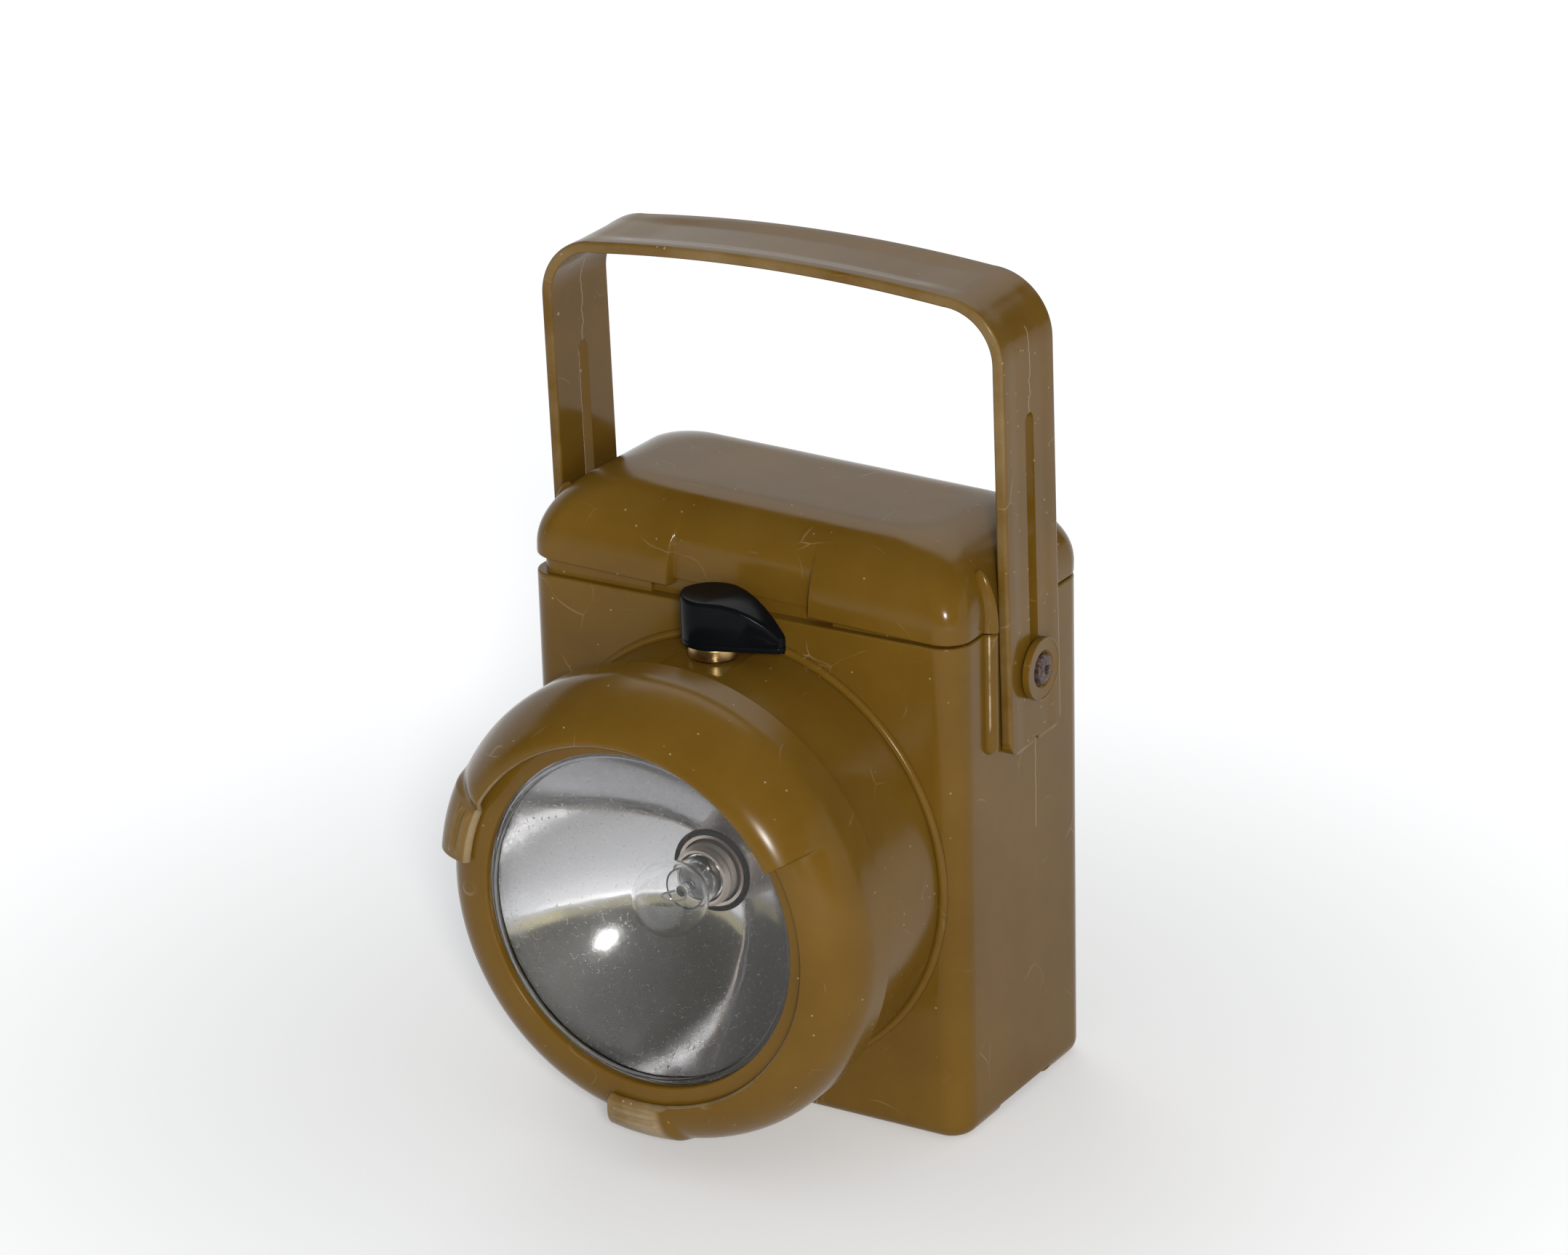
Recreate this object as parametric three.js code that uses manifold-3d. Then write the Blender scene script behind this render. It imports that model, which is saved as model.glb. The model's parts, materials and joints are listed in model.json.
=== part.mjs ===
// Hand lamp: a moulded case for two round cells, with a lamp head on its front,
// a shade that turns on the head, a slip-on lid, a sliding strap handle and a rotary switch.
// Millimetres, +Z up, the lens looks along -Y, the case's front face is y = 0 inside the lamp group.
import * as THREE from 'three';
import { mergeVertices } from 'three/addons/utils/BufferGeometryUtils.js';
import Module from 'manifold-3d';

const wasm = await Module();
wasm.setup();

// Fits shared by all pieces
const gap = 0.3;
const runningGap = 0.35;
const overrun = 2;
const sheet = 0.5;
const weldDistance = 1e-5;

// Cells
const cellRadius = 17.1;
const cellLength = 61.5;
const cellShoulder = 1.5;
const cellCapRadius = 13.5;
const cellCapThickness = 0.6;
const nubRadius = 4.75;
const nubHeight = 1.8;
const cellGap = 0.5;

// Case
const wall = 2.4;
const floorThickness = 2;
const cellSideRoom = 1.15;
const cellFrontRoom = 0.5;
const cornerRadius = 4.5;
const bottomRadius = 2.6;
const footChannelDepth = 1.8;
const footChannelWidth = 16;
const contactRoom = 5.9;
const boardThickness = 1.5;
const boardDepth = 4.3;
const lipInset = 1.4;
const lipHeight = 3.5;
const lipBreakRoom = 1.6;
const postSize = 4.6;
const postBoreDepth = 9;

// Guide ribs on the case and fins on the lid
const ribRadius = 1.75;
const ribLength = 19.5;
const ribToStrap = 1.0;
const finHeight = 7.6;
const finReach = 1.7;
const finHalfWidth = 1.5;

// Springs and bridge under the cells
const springWireRadius = 0.5;
const springHeight = 2.4;
const springOuterRadius = 8.6;
const springInnerRadius = 3.2;
const springTurns = 3;
const bridgeWidth = 12;
const bridgeOverhang = 10;
const studRadius = 1.3;
const studSpacing = 10;

// Head
const headRise = 1.5;
const snoutRadius = 34.75;
const snoutWall = 2;
const neckStep = 1.85;
const neckLength = 6.3;
const beadHeight = 1.2;
const beadThickness = 0.9;
const flatDepth = 0.65;
const flatReach = 14.2;
const flatHalfWidth = 5.4;
const bezelWall = 2.3;
const bezelRound = 7;
const bezelRoundLength = 7.5;
const lipThickness = 1.5;
const lensLap = 2.8;
const lensInset = 1.5;
const lensThickness = 1.5;
const lensDome = 0.9;
const gasketThickness = 0.8;
const gasketWidth = 1.6;
const reflectorSheet = 0.8;
const reflectorRimWidth = 3.5;
const reflectorSetback = 1.27;
const reflectorHoleRoom = 0.9;
const reflectorNeckLength = 2.4;

// Shade on the head, angles clockwise from the top as seen from the front
const hoodClearance = 0.35;
const hoodWall = 1.15;
const hoodLift = 2.7;
const hoodStartAngle = -82;
const hoodEndAngle = 190;
const browStartAngle = -62;
const browEndAngle = 60;
const browStepAngle = 1;
const browRiseAngle = 9;
const liftStartShare = 0.25;
const tabAngle = 18;
const tabBlend = 3;
const lipAngle = 6;
const tabSquareness = 0.62;
const tabRibWidth = 0.8;
const tabRibHeight = 0.5;
const tabRibPitch = 1.7;
const tabRibInset = 0.9;

// Bulb and its socket
const globeRadius = 5.75;
const glassWall = 0.45;
const bulbNeckRoom = 0.7;
const bulbLength = 23.5;
const bulbCapLength = 8;
const bulbCapRadius = 4.75;
const threadDepth = 0.45;
const threadTurns = 4;
const tipRadius = 1.7;
const tipLength = 0.8;
const insulatorLength = 0.8;
const stemShare = 0.573;
const bulbToLens = 1;
const filamentWireRadius = 0.2;
const filamentHalfWidth = 1.8;
const socketLength = 7.6;
const plateThickness = 1.5;
const contactHeadRadius = 2.4;
const contactHeadThickness = 0.8;
const contactPinRadius = 1.2;
const contactPinTail = 1.2;

// Rotary switch
const knobSetback = 6.5;
const knobRadius = 5;
const knobHeight = 7.5;
const knobTipRadius = 1.1;
const knobTipHeight = 2.3;
const knobBoreShare = 0.75;
const bushFlangeRadius = 4;
const bushFlangeHeight = 1.9;
const bushTubeRadius = 3.3;
const shaftRadius = 2;
const switchNutRadius = 5;
const switchNutHeight = 2.2;
const nutFlats = 6;
const camWallRoom = 0.5;
const camThickness = 3;
const camDropShare = 0.12;
const leafWidth = 6;

// Lid
const lidSkirt = 1.7;
const lidRound = 11.5;
const lidWall = 2.2;
const lidCornerShare = 0.3;
const lidTiltDegrees = 1.79;
const lidLipRoom = 0.4;
const recessWidth = 24.4;
const recessDepth = 1.5;

// Handle
const strapThickness = 1.8;
const strapWidth = 16;
const strapSideGap = 0.4;
const strapRounding = 0.45;
const handleReach = 60;
const handleDrop = 12;
const handleCornerRadius = 9.8;
const handleCrown = 1.6;
const handleLeanDegrees = 1.6;
const strapFootRadius = 2.4;
const notchRadius = 0.8;
const slotLength = 42;
const nutBoardRoom = 0.65;
const screwRadius = 1.1;
const screwHeadRadius = 2.4;
const screwHeadHeight = 0.9;
const discRadius = 4.9;
const discThickness = 1.6;
const discRecessDepth = 0.6;
const nutSize = 4.7;
const nutThickness = 1.8;

// Contact board under the lid
const boardEdgeRoom = 0.5;
const boardScrewRadius = 1;
const boardScrewHeadRadius = 1.8;
const boardScrewHeadHeight = 1.1;
const boardScrewLength = 7;
const contactWidth = 8;
const contactPadHalfLength = 3.2;
const contactRise = 4.5;
const rivetSpacing = 46;
const rivetRadius = 1.2;
const rivetHeadRadius = 1.7;
const rivetHeadHeight = 0.8;
const boardNotchWidth = 9;
const boardNotchDepth = 5;

// Wires
const wireRadius = 0.6;
const wireDepth = 5;
const wireHalfSpacing = 2;
const wireLoopHeight = 1.3;

// Smoothness, in segments
const headSides = 48;
const roundSides = 32;
const smallSides = 10;
const cornerSteps = 3;
const bendSteps = 4;
const domeSteps = 8;
const bowlSteps = 7;
const lensSteps = 4;
const tubeSides = 6;
const wireSteps = 36;
const thinSides = 5;
const filamentSteps = 18;
const springSteps = 8;
const hoodSteps = 8;
const tabSteps = 3;
const browRiseSteps = 5;
const hoodSpanSteps = 12;
const gapSamples = 240;

// Sizes worked out from the driving ones
const cellOffset = cellRadius + cellGap / 2;
const cavityHalfWidth = 2 * cellRadius + cellGap / 2 + cellSideRoom;
const cavityHalfDepth = cellRadius + cellFrontRoom;
const caseHalfWidth = cavityHalfWidth + wall;
const caseDepth = 2 * (cavityHalfDepth + wall);
const caseMiddle = caseDepth / 2;
const floorTop = footChannelDepth + floorThickness;
const bridgeBottom = floorTop + gap;
const springBottom = bridgeBottom + sheet + gap;
const cellBottom = springBottom + springHeight + gap;
const cellTop = cellBottom + cellLength;
const boardBottom = cellTop + contactRoom;
const boardTop = boardBottom + boardThickness;
const rimHeight = boardTop + boardDepth;
const screwHeight = boardBottom - nutBoardRoom - nutSize / 2;
const headHeight = rimHeight / 2 + headRise;
const neckRadius = snoutRadius - neckStep;
const boreRadius = neckRadius - snoutWall;
const lensRadius = boreRadius - lensInset;
const lensOpeningRadius = lensRadius - lensLap;
const reflectorMouthRadius = boreRadius - reflectorRimWidth;
const socketTubeRadius = bulbCapRadius + runningGap + sheet;
const reflectorHoleRadius = socketTubeRadius + reflectorHoleRoom;
const bulbNeckRadius = bulbCapRadius - threadDepth - bulbNeckRoom;
const insulatorRadius = bulbNeckRadius - gap;
const plateFront = gap + plateThickness;
const bulbTip = plateFront + gap + contactHeadThickness + gap;
const globeMiddle = bulbTip + bulbLength - globeRadius;
const stemBack = bulbTip + tipLength + insulatorLength + bulbCapLength + gap;
const stemLength = (globeMiddle - stemBack) * stemShare;
const lensBack = bulbTip + bulbLength + bulbToLens;
const lensFront = lensBack + lensThickness;
const gasketBack = lensBack - gap - gasketThickness;
const flangeFront = gasketBack - gap;
const flangeBack = flangeFront - reflectorSheet;
const neckFront = flangeBack - gap;
const snoutLength = neckFront - neckLength;
const vertexPlace = plateFront + gap + socketLength - reflectorSetback;
const focalLength = reflectorMouthRadius ** 2 / (4 * (flangeFront - vertexPlace));
const bezelLipBack = lensFront + gap;
const bezelFront = bezelLipBack + lipThickness;
const bezelRadius = neckRadius + runningGap + bezelWall;
const bezelBack = snoutLength + gap;
const flatHeight = headHeight + snoutRadius - flatDepth;
const knobBottom = flatHeight + gap + bushFlangeHeight + gap;
const knobReach = bezelBack - knobSetback - runningGap;
const strapInside = caseHalfWidth + strapSideGap;
const strapOutside = strapInside + strapThickness;
const discInside = strapOutside + gap;
const discFace = discInside + discThickness;
const lidSeat = rimHeight + gap;
const lidHeight = lidRound + lidSkirt;
const lipBreakWidth = recessWidth + 2 * (lidWall + lipBreakRoom);
const ribPlace = caseMiddle - strapWidth / 2 - ribToStrap - ribRadius;
const hoodOuterStep = hoodClearance + hoodWall;
const hoodEdge = Math.PI / 2 - THREE.MathUtils.degToRad(lipAngle);
const hoodShoulder = bezelFront - bezelRoundLength;
const hoodReach = hoodShoulder + (bezelRoundLength + hoodOuterStep) * Math.sin(hoodEdge) + hoodLift;
const socketRivetReach = socketTubeRadius + gap + rivetHeadRadius;
const socketFlangeRadius = socketRivetReach + rivetHeadRadius + gap;
const plateRadius = socketFlangeRadius + gap;
const camRadius = knobSetback - camWallRoom;
const nutTop = headHeight + Math.sqrt(boreRadius ** 2 - switchNutRadius ** 2) - gap;
const nutBottom = nutTop - switchNutHeight;
const leafFoot = headHeight + plateRadius + 2 * gap;
const camTop = nutBottom - (nutBottom - leafFoot) * camDropShare;
const camBottom = camTop - camThickness;
const leafHeight = camBottom - gap - sheet;
const leafRivetHeight = leafHeight - rivetHeadRadius - gap;
const leafWireHeight = leafRivetHeight - rivetHeadRadius - 2 * wireRadius - 2 * gap;
const knobBoreDepth = knobHeight * knobBoreShare;

// Turns every triangle so that a closed mesh faces outwards.
function outward(geometry) {
  const flat = geometry.index ? geometry.toNonIndexed() : geometry;
  const place = flat.getAttribute('position');
  const [a, b, c] = [new THREE.Vector3(), new THREE.Vector3(), new THREE.Vector3()];
  let volume = 0;
  for (let i = 0; i < place.count; i += 3) {
    a.fromBufferAttribute(place, i);
    b.fromBufferAttribute(place, i + 1);
    c.fromBufferAttribute(place, i + 2);
    volume += a.dot(b.cross(c));
  }
  const bare = new THREE.BufferGeometry();
  bare.setAttribute('position', place.clone());
  const merged = mergeVertices(bare, weldDistance);
  if (volume < 0) {
    const index = merged.getIndex();
    for (let i = 0; i < index.count; i += 3) {
      const first = index.getX(i);
      index.setX(i, index.getX(i + 2));
      index.setX(i + 2, first);
    }
  }
  return merged;
}

function solid(geometry) {
  const mesh = outward(geometry);
  return new wasm.Manifold(new wasm.Mesh({
    numProp: 3,
    vertProperties: new Float32Array(mesh.getAttribute('position').array),
    triVerts: new Uint32Array(mesh.getIndex().array),
  }));
}

function geometryOf(body) {
  const mesh = body.getMesh();
  const geometry = new THREE.BufferGeometry();
  geometry.setAttribute('position', new THREE.BufferAttribute(new Float32Array(mesh.vertProperties), 3));
  geometry.setIndex(new THREE.BufferAttribute(new Uint32Array(mesh.triVerts), 1));
  return geometry;
}

// The angles of a quarter turn in even steps.
function quarterTurn(steps) {
  return Array.from({ length: steps + 1 }, (_, step) => (step / steps) * (Math.PI / 2));
}

function join(pieces) {
  return pieces.map(solid).reduce((sum, piece) => sum.add(piece));
}

function cut(body, tools) {
  return tools.map(solid).reduce((rest, tool) => rest.subtract(tool), body);
}

function box(x0, x1, y0, y1, z0, z1) {
  const block = new THREE.BoxGeometry(x1 - x0, y1 - y0, z1 - z0);
  return block.translate((x0 + x1) / 2, (y0 + y1) / 2, (z0 + z1) / 2);
}

// A turned form about the lens axis: profile points are [radius, distance in front of the case].
function turned(profile, sides = roundSides) {
  const points = profile.map(([r, s]) => new THREE.Vector2(r, -s));
  return new THREE.LatheGeometry(points, sides).translate(0, 0, headHeight);
}

// A turned form about an upright axis: profile points are [radius, height].
function upright(profile, x, y, sides = roundSides) {
  const points = profile.map(([r, z]) => new THREE.Vector2(r, z));
  return new THREE.LatheGeometry(points, sides).rotateX(Math.PI / 2).translate(x, y, 0);
}

// A turned form about a sideways axis: profile points are [radius, x].
function sideways(profile, y, z, sides = smallSides) {
  const points = profile.map(([r, x]) => new THREE.Vector2(r, x));
  return new THREE.LatheGeometry(points, sides).rotateZ(-Math.PI / 2).translate(0, y, z);
}

// Closes a turned profile that has a bore by repeating its first point.
function ring(profile) {
  return [...profile, profile[0]];
}

function rod(radius, from, to) {
  return [[0, from], [radius, from], [radius, to], [0, to]];
}

function washer(inner, outer, from, to) {
  return ring([[inner, from], [outer, from], [outer, to], [inner, to]]);
}

// The closed skin between two grids of points that match row for row.
function shell(outer, inner) {
  const rows = outer.length;
  const columns = outer[0].length;
  const positions = [...outer.flat(), ...inner.flat()].flatMap((p) => [p.x, p.y, p.z]);
  const at = (side, row, column) => (side * rows + row) * columns + column;
  const index = [];
  const quad = (a, b, c, d) => index.push(a, b, c, a, c, d);
  const [lastRow, lastColumn] = [rows - 1, columns - 1];
  for (let row = 0; row < lastRow; row += 1) {
    const next = row + 1;
    for (let column = 0; column < lastColumn; column += 1) {
      quad(at(0, row, column), at(0, row, column + 1), at(0, next, column + 1), at(0, next, column));
      quad(at(1, row, column), at(1, next, column), at(1, next, column + 1), at(1, row, column + 1));
    }
    quad(at(0, row, 0), at(0, next, 0), at(1, next, 0), at(1, row, 0));
    quad(at(0, next, lastColumn), at(0, row, lastColumn), at(1, row, lastColumn), at(1, next, lastColumn));
  }
  for (let column = 0; column < lastColumn; column += 1) {
    const next = column + 1;
    quad(at(0, 0, next), at(0, 0, column), at(1, 0, column), at(1, 0, next));
    quad(at(0, lastRow, column), at(0, lastRow, next), at(1, lastRow, next), at(1, lastRow, column));
  }
  const geometry = new THREE.BufferGeometry();
  geometry.setAttribute('position', new THREE.Float32BufferAttribute(positions, 3));
  geometry.setIndex(index);
  return geometry;
}

// A stack of closed rings of points, capped at both ends.
function loft(rings) {
  const count = rings[0].length;
  const middle = (ringPoints) => {
    const sum = ringPoints.reduce((total, p) => total.add(p), new THREE.Vector3());
    return sum.divideScalar(count);
  };
  const points = [...rings.flat(), middle(rings[0]), middle(rings.at(-1))];
  const positions = points.flatMap((p) => [p.x, p.y, p.z]);
  const index = [];
  for (let i = 0; i < count; i += 1) {
    const next = (i + 1) % count;
    for (let k = 0; k + 1 < rings.length; k += 1) {
      const [low, high] = [k * count, (k + 1) * count];
      index.push(low + i, low + next, high + next, low + i, high + next, high + i);
    }
    const top = (rings.length - 1) * count;
    index.push(rings.length * count, next, i, rings.length * count + 1, top + i, top + next);
  }
  const geometry = new THREE.BufferGeometry();
  geometry.setAttribute('position', new THREE.Float32BufferAttribute(positions, 3));
  geometry.setIndex(index);
  return geometry;
}

// A rectangle with round corners at one height, centred over the cells.
function roundedRing(halfWidth, halfDepth, radius, z) {
  const points = [];
  const corners = [[1, 1, 0], [-1, 1, 1], [-1, -1, 2], [1, -1, 3]];
  for (const [sx, sy, quarter] of corners) {
    for (let step = 0; step <= cornerSteps; step += 1) {
      const angle = (quarter + step / cornerSteps) * (Math.PI / 2);
      const x = sx * (halfWidth - radius) + radius * Math.cos(angle);
      const y = caseMiddle + sy * (halfDepth - radius) + radius * Math.sin(angle);
      points.push(new THREE.Vector3(x, y, z));
    }
  }
  return points;
}

function prism(halfWidth, halfDepth, radius, z0, z1) {
  return loft([z0, z1].map((z) => roundedRing(halfWidth, halfDepth, radius, z)));
}

// A flat outline given an even thickness, laid in the plane across the named axis.
function plate(outline, depth, axis, start) {
  const settings = { depth, bevelEnabled: false, curveSegments: cornerSteps };
  const block = new THREE.ExtrudeGeometry(outline, settings);
  const turns = {
    x: new THREE.Matrix4().set(0, 0, 1, start, 1, 0, 0, 0, 0, 1, 0, 0, 0, 0, 0, 1),
    y: new THREE.Matrix4().set(1, 0, 0, 0, 0, 0, 1, start, 0, 1, 0, 0, 0, 0, 0, 1),
    z: new THREE.Matrix4().makeTranslation(0, 0, start),
  };
  return block.applyMatrix4(turns[axis]);
}

function outline(points) {
  return new THREE.Shape(points.map(([a, b]) => new THREE.Vector2(a, b)));
}

// A round tube of even radius along a smooth curve.
function tube(curve, radius, steps, sides = tubeSides) {
  const corners = Array.from({ length: sides }, (_, i) => {
    const angle = (2 * Math.PI * i) / sides;
    return [radius * Math.cos(angle), radius * Math.sin(angle)];
  });
  return new THREE.ExtrudeGeometry(outline(corners), { extrudePath: curve, steps });
}

const finishes = {
  olive: { color: 0x6e5220, roughness: 0.3, metalness: 0 },
  black: { color: 0x101113, roughness: 0.18, metalness: 0 },
  brass: { color: 0xb08d4a, roughness: 0.35, metalness: 1 },
  steel: { color: 0x9a9ca0, roughness: 0.4, metalness: 1 },
  rusty: { color: 0x5e4038, roughness: 0.7, metalness: 0.5 },
  mirror: { color: 0xe8eaec, roughness: 0.04, metalness: 1 },
  glass: { color: 0xf4f8f8, roughness: 0.02, metalness: 0, transparent: true, opacity: 0.25 },
  rubber: { color: 0x1c1c1c, roughness: 0.8, metalness: 0 },
  board: { color: 0x7a4a24, roughness: 0.6, metalness: 0 },
  jacket: { color: 0x33473a, roughness: 0.35, metalness: 0 },
  wireRed: { color: 0x8a1f1a, roughness: 0.5, metalness: 0 },
};

function piece(name, geometry, finish) {
  const mesh = new THREE.Mesh(geometry, new THREE.MeshStandardMaterial(finishes[finish]));
  mesh.name = name;
  return mesh;
}

const both = [-1, 1];
const sideName = (side) => (side < 0 ? 'left' : 'right');

// Case: box, snout, neck, bead, guide ribs, lip and posts are one moulding.
function caseBody() {
  const rings = quarterTurn(cornerSteps).map((angle) => {
    const inset = bottomRadius * (1 - Math.sin(angle));
    const z = bottomRadius * (1 - Math.cos(angle));
    return roundedRing(caseHalfWidth - inset, caseMiddle - inset, cornerRadius, z);
  });
  rings.push(roundedRing(caseHalfWidth, caseMiddle, cornerRadius, rimHeight));
  const snout = turned([
    [0, -wall],
    [snoutRadius, -wall],
    [snoutRadius + beadHeight, 0],
    [snoutRadius + beadHeight, beadThickness / 2],
    [snoutRadius, beadThickness],
    [snoutRadius, snoutLength],
    [neckRadius, snoutLength],
    [neckRadius, neckFront],
    [0, neckFront],
  ], headSides);
  const lidRoom = box(-caseHalfWidth, caseHalfWidth, 0, caseDepth, rimHeight, rimHeight + snoutRadius);
  const outside = cut(join([loft(rings), snout]), [lidRoom]);
  const lipTop = rimHeight + lipHeight;
  const hollow = prism(cavityHalfWidth, cavityHalfDepth, cornerRadius - wall, floorTop, lipTop + overrun);
  const bore = turned(rod(boreRadius, 0, neckFront + overrun));
  const lipRadius = cornerRadius - lipInset;
  const lip = cut(
    solid(prism(caseHalfWidth - lipInset, caseMiddle - lipInset, lipRadius, rimHeight - wall, lipTop)),
    [box(-lipBreakWidth / 2, lipBreakWidth / 2, -overrun, wall + overrun, rimHeight, lipTop + overrun)],
  );
  const ribs = both.map((side) => {
    const foot = rimHeight - ribLength;
    const profile = quarterTurn(cornerSteps).map((angle) => (
      [ribRadius * Math.sin(angle), foot + ribRadius * (1 - Math.cos(angle))]));
    profile.push([ribRadius, rimHeight], [0, rimHeight]);
    return upright(profile, side * caseHalfWidth, ribPlace, smallSides);
  });
  let body = cut(ribs.reduce((sum, rib) => sum.add(solid(rib)), outside.add(lip)), [hollow, bore]);
  const postRoom = solid(prism(
    cavityHalfWidth + gap,
    cavityHalfDepth + gap,
    cornerRadius - wall + gap,
    0,
    rimHeight,
  ));
  const half = postSize / 2 + gap;
  const postTop = boardBottom - gap;
  for (const [x, y] of boardScrewPlaces()) {
    const post = box(x - half, x + half, y - half, y + half, floorTop - gap, postTop);
    const screwBore = rod(boardScrewRadius + gap, postTop - postBoreDepth, boardBottom + overrun);
    body = cut(body.add(solid(post).intersect(postRoom)), [upright(screwBore, x, y, smallSides)]);
  }
  const studs = both.map((side) => upright(
    rod(studRadius, floorTop - gap, bridgeBottom + sheet + gap),
    0,
    caseMiddle + side * (studSpacing / 2 - studRadius),
    smallSides,
  ));
  body = studs.reduce((sum, stud) => sum.add(solid(stud)), body);
  const channel = box(
    -caseHalfWidth - overrun,
    caseHalfWidth + overrun,
    caseMiddle - footChannelWidth / 2,
    caseMiddle + footChannelWidth / 2,
    -overrun,
    footChannelDepth,
  );
  const flat = box(-flatHalfWidth, flatHalfWidth, -flatReach, 0, flatHeight, flatHeight + overrun);
  const bushHole = upright(
    rod(bushTubeRadius + gap, headHeight + boreRadius / 2, flatHeight + overrun),
    0,
    -knobSetback,
    smallSides,
  );
  const pinHole = turned(rod(contactPinRadius + gap + gap, -wall - overrun, overrun), smallSides);
  const screwHole = sideways(
    rod(screwRadius + gap, -caseHalfWidth - overrun, caseHalfWidth + overrun),
    caseMiddle,
    screwHeight,
  );
  const rivetHoles = socketRivetPlaces().map(([x, z]) => (
    frontRod(rivetRadius + gap, x, z, -wall - overrun, overrun)));
  const leafHoles = [leafRivetHeight, leafWireHeight].map((z, i) => {
    const radius = i === 0 ? rivetRadius : wireRadius + gap;
    return frontRod(radius + gap, 0, z, -wall - overrun, overrun);
  });
  const tools = [channel, flat, bushHole, pinHole, screwHole, ...rivetHoles, ...leafHoles];
  return piece('case_body', geometryOf(cut(body, tools)), 'olive');
}

// A short round rod that lies along Y through the case's front wall.
function frontRod(radius, x, z, from, to) {
  return turned(rod(radius, from, to), smallSides).translate(x, 0, z - headHeight);
}

function socketRivetPlaces() {
  return both.map((side) => [side * socketRivetReach, headHeight]);
}

// Head: bezel, lens, gasket and reflector stack in front of the neck.
function bezelShoulder() {
  const centre = bezelRadius - bezelRound;
  const shoulder = bezelFront - bezelRoundLength;
  return quarterTurn(domeSteps).map((angle) => (
    [centre + bezelRound * Math.cos(angle), shoulder + bezelRoundLength * Math.sin(angle)]));
}

function bezelRing() {
  const pocketRadius = lensRadius + gap;
  const inner = neckRadius + runningGap;
  const profile = ring([
    [inner, bezelBack],
    [bezelRadius - gap, bezelBack],
    [bezelRadius, bezelBack + gap],
    ...bezelShoulder(),
    [lensOpeningRadius + gap, bezelFront],
    [lensOpeningRadius, bezelFront - gap],
    [lensOpeningRadius, bezelLipBack],
    [pocketRadius, bezelLipBack],
    [pocketRadius, gasketBack],
    [inner, gasketBack],
  ]);
  return piece('bezel_ring', outward(turned(profile, headSides)), 'olive');
}

function lens() {
  const profile = [[0, lensBack], [lensRadius, lensBack], [lensRadius, lensFront]];
  const domeRadius = lensOpeningRadius - gap;
  for (let step = 0; step <= lensSteps; step += 1) {
    const share = 1 - step / lensSteps;
    profile.push([domeRadius * share, lensFront + lensDome * (1 - share ** 2)]);
  }
  return piece('lens', outward(turned(profile)), 'glass');
}

function lensGasket() {
  const profile = washer(lensRadius - gasketWidth, lensRadius, gasketBack, gasketBack + gasketThickness);
  return piece('lens_gasket', outward(turned(profile)), 'rubber');
}

function reflector() {
  const bowl = (r) => vertexPlace + r ** 2 / (4 * focalLength);
  const radii = Array.from({ length: bowlSteps + 1 }, (_, step) => (
    reflectorHoleRadius + ((reflectorMouthRadius - reflectorHoleRadius) * step) / bowlSteps));
  const front = radii.map((r) => [r, bowl(r)]);
  const back = radii.map((r) => [r + reflectorSheet / 2, bowl(r) - reflectorSheet]).reverse();
  const neckBack = bowl(reflectorHoleRadius) - reflectorNeckLength;
  const profile = ring([
    [reflectorHoleRadius, neckBack],
    ...front,
    [neckRadius - gap, flangeFront],
    [neckRadius - gap, flangeBack],
    ...back,
    [reflectorHoleRadius + reflectorSheet, bowl(reflectorHoleRadius) - reflectorSheet],
    [reflectorHoleRadius + reflectorSheet, neckBack],
  ]);
  return piece('reflector', outward(turned(profile)), 'mirror');
}

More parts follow.
